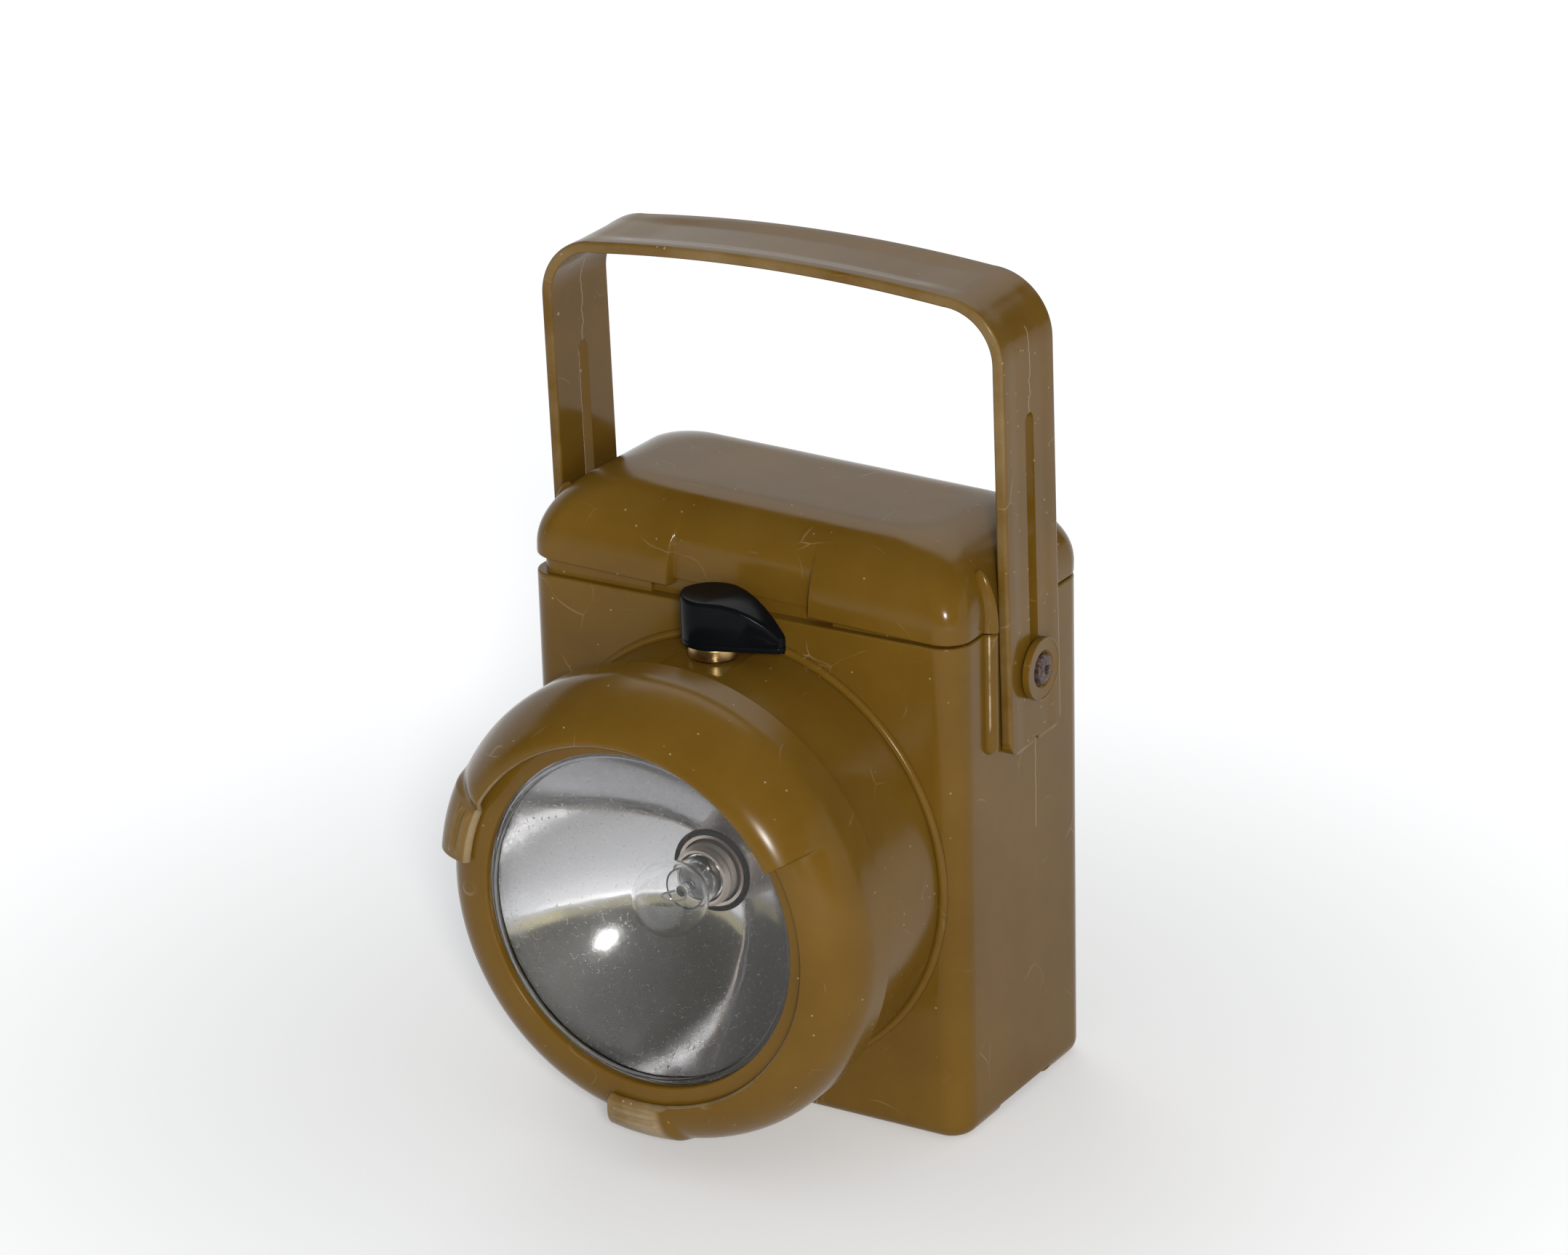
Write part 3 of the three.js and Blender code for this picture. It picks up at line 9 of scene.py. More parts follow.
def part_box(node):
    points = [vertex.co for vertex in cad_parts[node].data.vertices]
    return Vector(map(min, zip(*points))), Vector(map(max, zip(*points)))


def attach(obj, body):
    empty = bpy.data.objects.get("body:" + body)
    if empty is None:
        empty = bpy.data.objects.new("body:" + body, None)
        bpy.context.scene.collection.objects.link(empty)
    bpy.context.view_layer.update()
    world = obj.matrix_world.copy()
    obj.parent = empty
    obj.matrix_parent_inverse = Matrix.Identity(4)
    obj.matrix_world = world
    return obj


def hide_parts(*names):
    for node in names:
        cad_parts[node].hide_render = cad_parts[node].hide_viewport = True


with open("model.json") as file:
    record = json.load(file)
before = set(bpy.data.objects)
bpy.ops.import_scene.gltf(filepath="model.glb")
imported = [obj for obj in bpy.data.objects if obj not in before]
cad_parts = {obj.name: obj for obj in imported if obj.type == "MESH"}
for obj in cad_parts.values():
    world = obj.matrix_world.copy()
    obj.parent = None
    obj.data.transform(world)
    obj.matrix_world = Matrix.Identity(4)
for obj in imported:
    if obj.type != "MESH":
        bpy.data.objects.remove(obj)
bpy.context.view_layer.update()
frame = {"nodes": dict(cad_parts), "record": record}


# Photographer's place: the camera that sees the lamp as the photograph does.
# It stands in front of the lamp, to its right and a little above, with a long lens.
def placed(name, data):
    """An object of that name and data, put in the scene."""
    made = bpy.data.objects.new(name, data)
    bpy.context.collection.objects.link(made)
    return made


camera_data = bpy.data.cameras.new("photo_camera")
camera_data.sensor_width = 36.0
camera_data.lens = 115.98
camera_data.clip_start = 0.05
camera_data.clip_end = 60.0
camera = placed("photo_camera", camera_data)
azimuth, elevation, roll = (math.radians(angle) for angle in (31.532, 21.143, -1.569))
looked_at, distance = Vector((0.0, -0.0174245, 0.065)), 0.754049
shift_right, shift_up = 0.014478, 0.017137
backward = Vector((math.sin(azimuth) * math.cos(elevation),
                   -math.cos(azimuth) * math.cos(elevation), math.sin(elevation)))
rightward = Vector((math.cos(azimuth), math.sin(azimuth), 0.0))
upward = backward.cross(rightward)
turned_right = math.cos(roll) * rightward + math.sin(roll) * upward
turned_up = -math.sin(roll) * rightward + math.cos(roll) * upward
eye = looked_at + shift_right * turned_right + shift_up * turned_up + distance * backward
turned_axes = Matrix((turned_right, turned_up, backward)).transposed().to_4x4()
camera.matrix_world = Matrix.Translation(eye) @ turned_axes
bpy.context.scene.camera = camera
bpy.context.scene.view_settings.view_transform = "Standard"


# Studio: a pale floor that keeps the lamp's shadow, with painted shade on it round the lamp, a white
# wall with a dark doorway behind on the right, a bright window over the back half, one small key lamp and
# two soft ones.
def feed(tree, target, inputs):
    """Sets or links the inputs of a node; a node given as a value stands for its first output."""
    for key, value in inputs.items():
        if isinstance(value, bpy.types.Node):
            value = value.outputs[0]
        if isinstance(value, bpy.types.NodeSocket):
            tree.links.new(value, target.inputs[key])
        else:
            target.inputs[key].default_value = value


def node(tree, kind, inputs=None, **settings):
    """A shader node of that kind, with its settings and its input values or links."""
    made = tree.nodes.new("ShaderNode" + kind)
    for key, value in settings.items():
        setattr(made, key, value)
    feed(tree, made, inputs or {})
    return made


def maths(tree, operation, *values):
    """The result of a Math node on the values or links."""
    return node(tree, "Math", dict(enumerate(values)), operation=operation).outputs[0]


def ranged(tree, value, low, high, first=0.0, last=1.0, step="LINEAR"):
    """The value carried in a straight line from low and high to first and last, and held there."""
    return node(tree, "MapRange", {
        "Value": value, "From Min": low, "From Max": high, "To Min": first, "To Max": last},
        interpolation_type=step).outputs[0]


def smooth(tree, value, low, high, first=0.0, last=1.0):
    """The same along the smooth step 3x^2 - 2x^3."""
    return ranged(tree, value, low, high, first, last, "SMOOTHSTEP")


def mix_colour(tree, share, first, second):
    """The colour between first and second at that share."""
    return node(tree, "Mix", {0: share, 6: first, 7: second}, data_type="RGBA").outputs[2]


def seen_rays(tree):
    """1 for rays from the camera, from reflections and through clear pieces, 0 for the others."""
    path = node(tree, "LightPath").outputs
    straight = maths(tree, "MAXIMUM", path["Is Camera Ray"], path["Is Glossy Ray"])
    return maths(tree, "MAXIMUM", straight, path["Is Transmission Ray"])


def emptied_tree(owner):
    """The node tree of a world or a material, without its first nodes."""
    owner.use_nodes = True
    owner.node_tree.nodes.clear()
    return owner.node_tree


world = bpy.data.worlds.new("studio")
bpy.context.scene.world = world
sky = emptied_tree(world)
direction = node(sky, "TexCoord").outputs["Generated"]
right, away, up = node(sky, "SeparateXYZ", {"Vector": direction}).outputs
wall_rise = ranged(sky, right, -0.54, -0.3, 0.29, 0.42)
wall_top = maths(sky, "MULTIPLY_ADD", wall_rise, smooth(sky, away, -0.3, 0.0), 0.09)
wall_share = smooth(sky, maths(sky, "SUBTRACT", up, wall_top), 0.0, 0.05, 1.0, 0.06)
wall_behind = smooth(sky, away, -0.35, 0.05, 0.56, 1.0)
wall_level = maths(sky, "MAXIMUM", wall_behind, smooth(sky, right, 0.7, 0.86))
wall_plain = maths(sky, "MULTIPLY", wall_level, wall_share)
doorway_left = smooth(sky, right, 0.3, 0.42, 0.0, 0.88)
doorway_share = maths(sky, "MULTIPLY", doorway_left, smooth(sky, away, 0.45, 0.6))
wall_kept = maths(sky, "SUBTRACT", 1.0, doorway_share)
wall_light = maths(sky, "MULTIPLY", wall_plain, wall_kept)
window_left = smooth(sky, right, -0.64, -0.56)
window_width = maths(sky, "MULTIPLY", window_left, smooth(sky, right, 0.26, 0.1))
window_share = maths(sky, "MULTIPLY", smooth(sky, away, 0.22, 0.36), window_width)
window_level = ranged(sky, up, 0.45, 0.8, 1.0, 2.6)
window_light = maths(sky, "MULTIPLY", window_share, window_level)
shelf_share = maths(sky, "MULTIPLY", smooth(sky, up, 0.0, 0.03), ranged(sky, away, -0.2, -0.4))
wall_colour = mix_colour(sky, shelf_share, (1, 1, 1, 1), (0.92, 0.84, 0.5, 1))
seen = node(sky, "Background", {
    "Color": wall_colour, "Strength": maths(sky, "MAXIMUM", wall_light, window_light)})
fill = node(sky, "Background", {"Color": (0.93, 0.96, 1, 1), "Strength": 0.43})
node(sky, "OutputWorld", {
    "Surface": node(sky, "MixShader", {0: seen_rays(sky), 1: fill, 2: seen})})

floor_mesh = bpy.data.meshes.new("floor")
floor_mesh.from_pydata([(-8, -8, 0), (8, -8, 0), (8, 8, 0), (-8, 8, 0)], [], [(0, 1, 2, 3)])
floor = placed("floor", floor_mesh)
floor_material = bpy.data.materials.new("pale_floor")
floor_tree = emptied_tree(floor_material)
floor_place = node(floor_tree, "TexCoord").outputs["Object"]
# The floor's glow is weaker near the lamp: painted shade round its foot that deepens its shadow and shows in
# reflections.
floor_away = node(floor_tree, "VectorMath", {0: floor_place}, operation="LENGTH")
painted_shade_glow_level = smooth(floor_tree, floor_away.outputs["Value"], 0.05, 0.24, 0.18, 0.5)
floor_glow_with_painted_shade = node(floor_tree, "Emission", {"Strength": painted_shade_glow_level})
floor_dark = node(floor_tree, "Emission", {"Strength": 0.0})
floor_seen = node(floor_tree, "MixShader", {0: seen_rays(floor_tree), 1: floor_dark, 2: floor_glow_with_painted_shade})
floor_matt = node(floor_tree, "BsdfDiffuse", {"Color": (0.85, 0.85, 0.85, 1)})
node(floor_tree, "OutputMaterial", {
    "Surface": node(floor_tree, "AddShader", {0: floor_matt, 1: floor_seen})})
floor_mesh.materials.append(floor_material)

for name, place, aim_height, size, watts, colour, mirrored in (
        ("key_lamp", (0.79, -1.13, 0.64), 0.06, 0.19, 14.5, (1.0, 0.98, 0.94), True),
        ("front_soft", (1.3, -1.5, 0.3), 0.04, 0.8, 12.0, (1.0, 0.99, 0.97), False),
        ("rear_soft", (-1.2, 1.2, 1.6), 0.06, 1.4, 6.0, (0.95, 0.97, 1.0), False)):
    lamp_data = bpy.data.lights.new(name, "AREA")
    lamp_data.shape = "DISK"
    lamp_data.size = size
    lamp_data.energy = watts
    lamp_data.color = colour
    lamp = placed(name, lamp_data)
    lamp.location = place
    lamp.rotation_mode = "QUATERNION"
    lamp.rotation_quaternion = (Vector((0.0, 0.0, aim_height)) - Vector(place)).to_track_quat("-Z", "Y")
    lamp.visible_glossy = lamp.visible_transmission = mirrored


# Moulded olive plastic: the case, the lid, the shade, the bezel, the discs and the strap are
# all glossy mouldings of one compound, dulled by fine dust, short scratches and rubbed edges; some pale
# edges are painted highlight.
def group(name, numbers, results):
    """A shader node group that takes a place and the named numbers: its tree, the place scaled
    by its Per Metre number where it has one, what comes in, and what goes out."""
    tree = bpy.data.node_groups.new(name, "ShaderNodeTree")
    tree.interface.new_socket(name="Place", in_out="INPUT", socket_type="NodeSocketVector")
    for label in numbers:
        tree.interface.new_socket(name=label, in_out="INPUT", socket_type="NodeSocketFloat")
    for label in results:
        tree.interface.new_socket(name=label, in_out="OUTPUT", socket_type="NodeSocketFloat")
    taken, given = tree.nodes.new("NodeGroupInput").outputs, tree.nodes.new("NodeGroupOutput")
    scaled = taken["Place"]
    if "Per Metre" in numbers:
        scaled = node(tree, "VectorMath", {0: scaled, "Scale": taken["Per Metre"]},
                      operation="SCALE").outputs[0]
    return tree, scaled, taken, given


dust_group, scaled, taken, given = group("fine_dust", ["Per Metre", "Share", "Size"], ["Specks"])
cells = node(dust_group, "TexVoronoi", {"Vector": scaled, "Scale": 1.0}).outputs
chance = node(dust_group, "SeparateColor", {0: cells["Color"]})
chosen = maths(dust_group, "LESS_THAN", chance, taken["Share"])
speck = smooth(dust_group, cells["Distance"], taken["Size"], 0.02)
feed(dust_group, given, {"Specks": maths(dust_group, "MULTIPLY", chosen, speck)})

scratch_group, scaled, taken, given = group(
    "short_scratches", ["Per Metre", "Share", "Width"], ["Lines"])
wander = node(scratch_group, "TexNoise", {"Vector": scaled, "Scale": 0.7, "Detail": 2.0})
bent = node(scratch_group, "VectorMath", {
    0: wander.outputs["Color"], 1: (1.3, 1.3, 1.3), 2: scaled}, operation="MULTIPLY_ADD")
edges = node(scratch_group, "TexVoronoi", {"Vector": bent, "Scale": 1.0}, feature="DISTANCE_TO_EDGE")
line = ranged(scratch_group, edges.outputs["Distance"], 0.0, taken["Width"], 1.0, 0.0)
patches = node(scratch_group, "TexNoise", {"Vector": scaled, "Scale": 1.9, "Detail": 1.0})
kept = smooth(scratch_group, patches.outputs["Fac"], taken["Share"], 0.75)
feed(scratch_group, given, {"Lines": maths(scratch_group, "MULTIPLY", line, kept)})

haze_group, scaled, taken, given = group("handling_haze", ["Per Metre"], ["Haze", "Waves"])
smears = node(haze_group, "TexNoise", {
    "Vector": scaled, "Scale": 1.0, "Detail": 6.0, "Roughness": 0.62})
ripple = node(haze_group, "TexNoise", {"Vector": scaled, "Scale": 2.2, "Detail": 1.0})
feed(haze_group, given, {"Haze": smears.outputs["Fac"], "Waves": ripple.outputs["Fac"]})

line_group, place, taken, given = group("knit_line", ["Middle", "Low", "High", "Wander"], ["Line"])
split = node(line_group, "SeparateXYZ", {0: place}).outputs
upright = node(line_group, "CombineXYZ", {"Z": split["Z"]})
unrest = node(line_group, "TexNoise", {"Vector": upright, "Scale": 330.0, "Detail": 3.0})
swing = maths(line_group, "MULTIPLY_ADD", unrest.outputs["Fac"], taken["Wander"], taken["Middle"])
off_line = maths(line_group, "ABSOLUTE", maths(line_group, "SUBTRACT", split["Y"], swing))
above = maths(line_group, "GREATER_THAN", split["Z"], taken["Low"])
below = maths(line_group, "LESS_THAN", split["Z"], taken["High"])
span = maths(line_group, "MULTIPLY", above, below)
core = smooth(line_group, off_line, 0.00016, 0.00005)
feed(line_group, given, {"Line": maths(line_group, "MULTIPLY", core, span)})


def use_group(tree, shared, place, **numbers):
    """What the shared group gives at that place with those numbers."""
    named = {key.replace("_", " "): value for key, value in numbers.items()}
    return node(tree, "Group", {"Place": place, **named}, node_tree=shared).outputs


def material(name):
    """An empty material with its tree, its place on the object and a Principled shader."""
    made = bpy.data.materials.new(name)
    tree = emptied_tree(made)
    place = node(tree, "TexCoord").outputs["Object"]
    shader = node(tree, "BsdfPrincipled")
    node(tree, "OutputMaterial", {"Surface": shader})
    return made, tree, place, shader


NO_LINE = (0.0, 0.0, 0.0, 0.001)


def worn_plastic(name, line=NO_LINE, colour=(0.134, 0.071, 0.009, 1), deep=(0.111, 0.057, 0.0062, 1),
                 dust_and_highlight_colour=(0.48, 0.40, 0.27, 1), dust_share=0.10, gloss=0.13, shine=0.19):
    """Glossy moulded plastic: mottled colour, dust specks, scratches, smears, faint ripples, a
    wandering knit line (middle, low, high, wander) and pale places from each point's pale share:
    rubbed plastic, and on some edges a painted highlight."""
    made, tree, place, shader = material(name)
    haze = use_group(tree, haze_group, place, Per_Metre=45.0)
    dust = use_group(tree, dust_group, place, Per_Metre=750.0, Share=dust_share, Size=0.17)
    crumbs = use_group(tree, dust_group, place, Per_Metre=260.0, Share=dust_share * 0.5, Size=0.1)
    scratches = use_group(tree, scratch_group, place, Per_Metre=70.0, Share=0.55, Width=0.009)
    middle, low, high, wander = line
    knit = use_group(tree, line_group, place, Middle=middle, Low=low, High=high, Wander=wander)
    tone = ranged(tree, haze["Haze"], 0.35, 0.65)
    specks = maths(tree, "MAXIMUM", dust["Specks"], crumbs["Specks"])
    marks = maths(tree, "MAXIMUM", maths(tree, "MULTIPLY", specks, 0.6),
                  maths(tree, "MULTIPLY", scratches["Lines"], 0.28))
    # Pale places read from the mesh: rubbed plastic, and on some edges a painted highlight.
    wear_and_highlight_attribute = node(tree, "Attribute", attribute_name="wear_and_highlight")
    rubbed_and_highlit = maths(tree, "MAXIMUM", maths(tree, "MULTIPLY", knit["Line"], 0.34),
                   maths(tree, "MULTIPLY", wear_and_highlight_attribute.outputs["Fac"], tone))
    marked = mix_colour(tree, marks, mix_colour(tree, tone, deep, colour), dust_and_highlight_colour)
    rough = ranged(tree, haze["Haze"], 0.3, 0.75, gloss, gloss + 0.14)
    raised = maths(tree, "MULTIPLY_ADD", specks, 0.25, haze["Waves"])
    relief = maths(tree, "MULTIPLY_ADD", knit["Line"], -0.5, raised)
    feed(tree, shader, {
        "Base Color": mix_colour(tree, rubbed_and_highlit, marked, dust_and_highlight_colour),
        "Roughness": maths(tree, "MULTIPLY_ADD", marks, 0.5, rough),
        "Normal": node(tree, "Bump", {"Strength": 0.12, "Distance": 0.0006, "Height": relief}),
        "IOR": 1.46, "Specular IOR Level": shine})
    return made


olive = worn_plastic("olive_plastic")


# Case: one deep box with an open top, moulded together with the round snout of the head,
# the bead round its foot, the guide ribs, the lid's lip and the foot channel.
MM = 0.001
case_half_width, case_half_depth, case_corner = 38.0, 20.0, 4.5
rim_height, lip_inset, lip_height, case_wall = 80.8, 1.4, 3.5, 2.4
floor_top, foot_round, channel_half, channel_height = 3.8, 2.6, 8, 1.8
head_height, snout_radius, snout_length, bead_radius = 41.9, 34.75, 18.9, 0.72
neck_radius, neck_front, bore_radius, bore_back = 32.9, 25.2, 30.9, -1.2
rib_radius, rib_length, rib_setback = 1.4, 19.5, 9.6
flat_half, flat_reach, flat_height = 5.4, 14.2, 76.0
switch_setback, bush_bore, screw_height, screw_bore = 6.5, 3.6, 72.0, 1.55
gap_half, gap_depth = 16, 4.4
sill_half, sill_front, sill_back, sill_foot = 16.4, 2.2, 3.9, 77.0
highlight_side, highlight_half, highlight_start, highlight_value = -58.0, 5.5, 4.5, 2.2
case_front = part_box("case_body")[1].y / MM - 2 * case_half_depth
case_middle = case_front + case_half_depth


def softened(corners, cuts, steps=6):
    """A polyline whose corners are rounded by quadratic curves: each corner P gives
    (1-t)^2 A + 2t(1-t) P + t^2 B, where A and B lie one cut away from P on its two edges."""
    points = np.asarray(corners, float)
    cut = np.asarray(cuts, float)[:, None]
    start, end = (points + side / np.maximum(np.linalg.norm(side, axis=1, keepdims=True), 1e-9) * cut
                  for side in (np.roll(points, 1, 0) - points, np.roll(points, -1, 0) - points))
    t = np.linspace(0.0, 1.0, steps + 1)[None, :, None]
    curve = (1 - t) ** 2 * start[:, None] + 2 * t * (1 - t) * points[:, None] + t ** 2 * end[:, None]
    return curve.reshape(-1, 2)


def arc(middle_x, middle_y, half_x, half_y, turn):
    """Points of an ellipse: (middle x + half x cos t, middle y + half y sin t)."""
    return np.column_stack([middle_x + half_x * np.cos(turn), middle_y + half_y * np.sin(turn)])


def whole(outline):
    """Rows of a profile from its (inset, height) points, each ring at its full size."""
    return np.column_stack([outline, np.ones(len(outline))])


def spread(*parts):
    """Points whose coordinates are the parts, each repeated to fill the shape of them all."""
    return np.stack(np.broadcast_arrays(*parts), -1)


def plan_columns(corner_steps, front_shares, side_steps):
    """Columns round a rounded rectangle, as the share of each corner centre (cx, cy) and the
    outward direction (nx, ny), so that a point is c (h - r) + n r for half size h and corner r."""
    blocks = []
    for quarter, (sx, sy) in enumerate(((1, 1), (-1, 1), (-1, -1), (1, -1))):
        turn = (quarter + np.linspace(0.0, 1.0, corner_steps + 1)) * math.pi / 2
        if quarter in (0, 2):
            row = spread(front_shares * (quarter - 1), sy, 0, sy)
        else:
            row = spread(sx, np.linspace(-1.0, 1.0, side_steps + 2)[1:-1] * (quarter - 2), sx, 0)
        blocks += [spread(sx, sy, np.cos(turn), np.sin(turn)), row]
    return np.concatenate(blocks)


def lofted(profile, columns, corner_of):
    """Rings over the plan: each profile row is (inset, height, shrink), and a ring's point is
    shrink * (c (h - inset - r) + n r), with the corner radius r worked out from the inset."""
    inset, level, shrink = (profile[:, k][:, None] for k in range(3))
    corner = corner_of(inset)
    half_x, half_y = case_half_width - inset, case_half_depth - inset
    x = shrink * (columns[:, 0] * (half_x - corner) + columns[:, 2] * corner)
    y = shrink * (columns[:, 1] * (half_y - corner) + columns[:, 3] * corner)
    return spread(x, y + case_middle, level)


def grid_faces(rows, columns, wrap_rows=False):
    """Quads that join each point of a grid to its neighbours, closed round along each row, and
    from the last row to the first where asked."""
    i, j = np.meshgrid(np.arange(rows - (not wrap_rows)), np.arange(columns), indexing="ij")
    i2, j2 = (i + 1) % rows, (j + 1) % columns
    quads = [i * columns + j, i * columns + j2, i2 * columns + j2, i2 * columns + j]
    return np.stack(quads, -1).reshape(-1, 4)


def mesh_object(name, points, faces, angle=32.0, wear_and_highlight=None):
    """A closed mesh in metres from points in millimetres, welded, facing out, smooth but for
    edges sharper than the angle; the last argument holds each point's share of pale plastic:
    rubbed places, and on some edges a painted highlight."""
    data = bpy.data.meshes.new(name)
    data.from_pydata((np.asarray(points).reshape(-1, 3) * MM).tolist(), [], [tuple(face) for face in faces])
    if wear_and_highlight is not None:
        data.attributes.new("wear_and_highlight", "FLOAT", "POINT").data.foreach_set("value", np.ravel(wear_and_highlight))
    welded = bmesh.new()
    welded.from_mesh(data)
    bmesh.ops.remove_doubles(welded, verts=welded.verts, dist=1e-6)
    bmesh.ops.dissolve_degenerate(welded, edges=welded.edges, dist=1e-7)
    bmesh.ops.recalc_face_normals(welded, faces=welded.faces)
    welded.to_mesh(data)
    welded.free()
    data.shade_smooth()
    data.set_sharp_from_angle(angle=math.radians(angle))
    return placed(name, data)


def combined(target, tools, operation, angle=32.0):
    """The target joined with or cut by closed tools, worked out exactly, the tools used up."""
    for tool in tools:
        step = target.modifiers.new("combine", "BOOLEAN")
        step.operation = operation
        step.solver = "EXACT"
        step.object = tool
    evaluated = target.evaluated_get(bpy.context.evaluated_depsgraph_get())
    result = bpy.data.meshes.new_from_object(evaluated)
    target.modifiers.clear()
    target.data = result
    result.name = target.name
    result.shade_smooth()
    result.set_sharp_from_angle(angle=math.radians(angle))
    for tool in tools:
        bpy.data.objects.remove(tool)


def even_normals(target):
    """Lets large flat faces keep their own direction next to narrow rounded ones."""
    step = target.modifiers.new("even_normals", "WEIGHTED_NORMAL")
    step.keep_sharp = True
    step.weight = 60


def turned(name, axis, centre, profile, sides=48, closed=False, angle=32.0):
    """A form turned about the line through the centre along x, y or z (axis 0, 1 or 2), from
    (radius r, place along the line) points: the next two coordinates are r cos t and r sin t."""
    turn = np.linspace(0.0, 2 * math.pi, sides, endpoint=False)
    r, along = (np.asarray(profile, float)[:, k][:, None] for k in range(2))
    cosine, sine = (axis + 1) % 3, (axis + 2) % 3
    points = np.empty((len(r), sides, 3))
    points[..., axis] = along
    points[..., cosine] = centre[cosine] + r * np.cos(turn)
    points[..., sine] = centre[sine] + r * np.sin(turn)
    return mesh_object(name, points, grid_faces(len(r), sides, closed), angle)


def lathe(name, profile, sides=192, closed=True):
    """A form turned about the lens axis from (radius, distance in front of the case) points;
    an open profile starts and ends on the axis."""
    profile = np.asarray(profile, float) * (1, -1) + (0, case_front)
    return turned(name, 1, (0, 0, head_height), profile, sides, closed)


def block(name, low, high):
    """A plain box between two corners, used only as a tool to cut or to fill."""
    (x0, y0, z0), (x1, y1, z1) = low, high
    points = [(x, y, z) for x in (x0, x1) for y in (y0, y1) for z in (z0, z1)]
    faces = [(0, 1, 3, 2), (4, 6, 7, 5), (0, 4, 5, 1), (2, 3, 7, 6), (0, 2, 6, 4), (1, 5, 7, 3)]
    return mesh_object(name, points, faces)


def dress(piece, body, slot, finish, *nodes):
    """Gives a finished piece its material, its CAD body and the nodes it stands for. The slot is not used.
    """
    piece.data.materials.clear()
    piece.data.materials.append(finish)
    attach(piece, body)
    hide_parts(*nodes)


quarter_turn = np.linspace(0.0, math.pi / 2, 9)
case_inside = softened([
    (0.0, rim_height - 0.9), (0.0, rim_height), (lip_inset, rim_height),
    (lip_inset, rim_height + lip_height), (case_wall, rim_height + lip_height),
    (case_wall, floor_top), (case_half_depth * 0.6, floor_top)],
    [0.0, 0.35, 0.2, 0.3, 0.3, 1.5, 0.0], 5)[6:-6]
case_rows = np.concatenate([
    [(foot_round, 0.0, shrink) for shrink in (0.0, 0.5, 0.99)],
    whole(np.column_stack([foot_round * (1 - np.sin(quarter_turn)),
                           foot_round * (1 - np.cos(quarter_turn))])),
    [(0.0, level, 1.0) for level in (3.2, 20, 40, 60, 79.6)],
    whole(case_inside),
    [(case_wall + 1.6, floor_top, shrink) for shrink in (0.6, 0.0)]])
case_points = lofted(case_rows, plan_columns(10, np.linspace(-1.0, 1.0, 26)[1:-1], 12),
                     lambda inset: np.maximum(case_corner - inset, 0.8))
case_shell = mesh_object("case_shell", case_points, grid_faces(*case_points.shape[:2]))

bead_middle = snout_radius + 0.4
bead_arc = arc(bead_middle, 0.25, bead_radius, bead_radius, np.linspace(-0.35 * math.pi, 0.72 * math.pi, 12))
snout_front = softened([(snout_radius, 17.0), (snout_radius, snout_length), (neck_radius, snout_length),
                        (neck_radius, neck_front), (bore_radius, neck_front), (bore_radius, bore_back)],
                       [0.0, 0.3, 0.3, 0.3, 0.3, 0.0], 4)
snout = lathe("snout", np.concatenate([
    [(bead_middle, bore_back)], bead_arc, [(snout_radius, 1.4), (snout_radius, 9.0)],
    snout_front[5:-4]]), 256)

rib_y, rib_foot = case_front + rib_setback, rim_height - rib_length
rib_profile = np.concatenate([
    np.column_stack([rib_radius * np.sin(quarter_turn), rib_foot + rib_radius * (1 - np.cos(quarter_turn))]),
    [(rib_radius, rib_foot + 4.0), (rib_radius, rib_foot + 5.0), (rib_radius, rim_height - 0.3),
     (rib_radius - 0.3, rim_height), (0.0, rim_height)]])
ribs = [turned("rib", 2, (side * case_half_width, rib_y, 0), rib_profile, 72) for side in (-1, 1)]
combined(case_shell, [snout, *ribs], "UNION")

combined(case_shell, [
    block("inner_room", (-case_half_width + case_wall, case_front + case_wall, floor_top + 2),
          (case_half_width - case_wall, case_front + 2 * case_half_depth - case_wall, 100)),
    block("foot_channel", (-50, case_middle - channel_half, -5),
          (50, case_middle + channel_half, channel_height)),
    block("lip_gap", (-gap_half, case_front - 5, rim_height), (gap_half, case_front + gap_depth, 100)),
    block("switch_flat", (-flat_half, case_front - flat_reach, flat_height),
          (flat_half, case_front + 0.01, 90)),
    turned("bush_hole", 2, (0, case_front - switch_setback, 0),
           [(0, 60), (bush_bore, 60), (bush_bore, 90), (0, 90)]),
    turned("screw_hole", 0, (0, case_middle, screw_height),
           [(0, -60), (screw_bore, -60), (screw_bore, 60), (0, 60)], 64)], "DIFFERENCE")
combined(case_shell, [block("sill", (-sill_half, case_front + sill_front, sill_foot),
                            (sill_half, case_front + sill_back, rim_height + lip_height))], "UNION")
combined(case_shell, [block("sill_edge", (-20, case_front + sill_back + 0.05, 70),
                            (20, case_front + 6, 90))], "DIFFERENCE")
even_normals(case_shell)

# Painted highlight: a pale streak down the front of the right guide rib, where the key lamp would glint on
# its round, stored with the pale marks.
case_places = np.empty(3 * len(case_shell.data.vertices))
case_shell.data.vertices.foreach_get("co", case_places)
case_x, case_y, case_z = case_places.reshape(-1, 3).T / MM
rib_away = np.hypot(case_x - case_half_width, case_y - rib_y)
rib_side = np.degrees(np.arctan2(case_y - rib_y, case_x - case_half_width))
painted_highlight = ((np.abs(rib_away - rib_radius) < 0.02) & (np.abs(rib_side - highlight_side) < highlight_half)
           & (case_z > rib_foot + highlight_start))
case_highlight = case_shell.data.attributes.new("wear_and_highlight", "FLOAT", "POINT")
case_highlight.data.foreach_set("value", painted_highlight * highlight_value)
case_olive = worn_plastic("case_olive_plastic", (case_middle * MM + 0.0033, 0.044, 0.066, 0.0012))
dress(case_shell, "case", "olive_plastic", case_olive, "case_body")


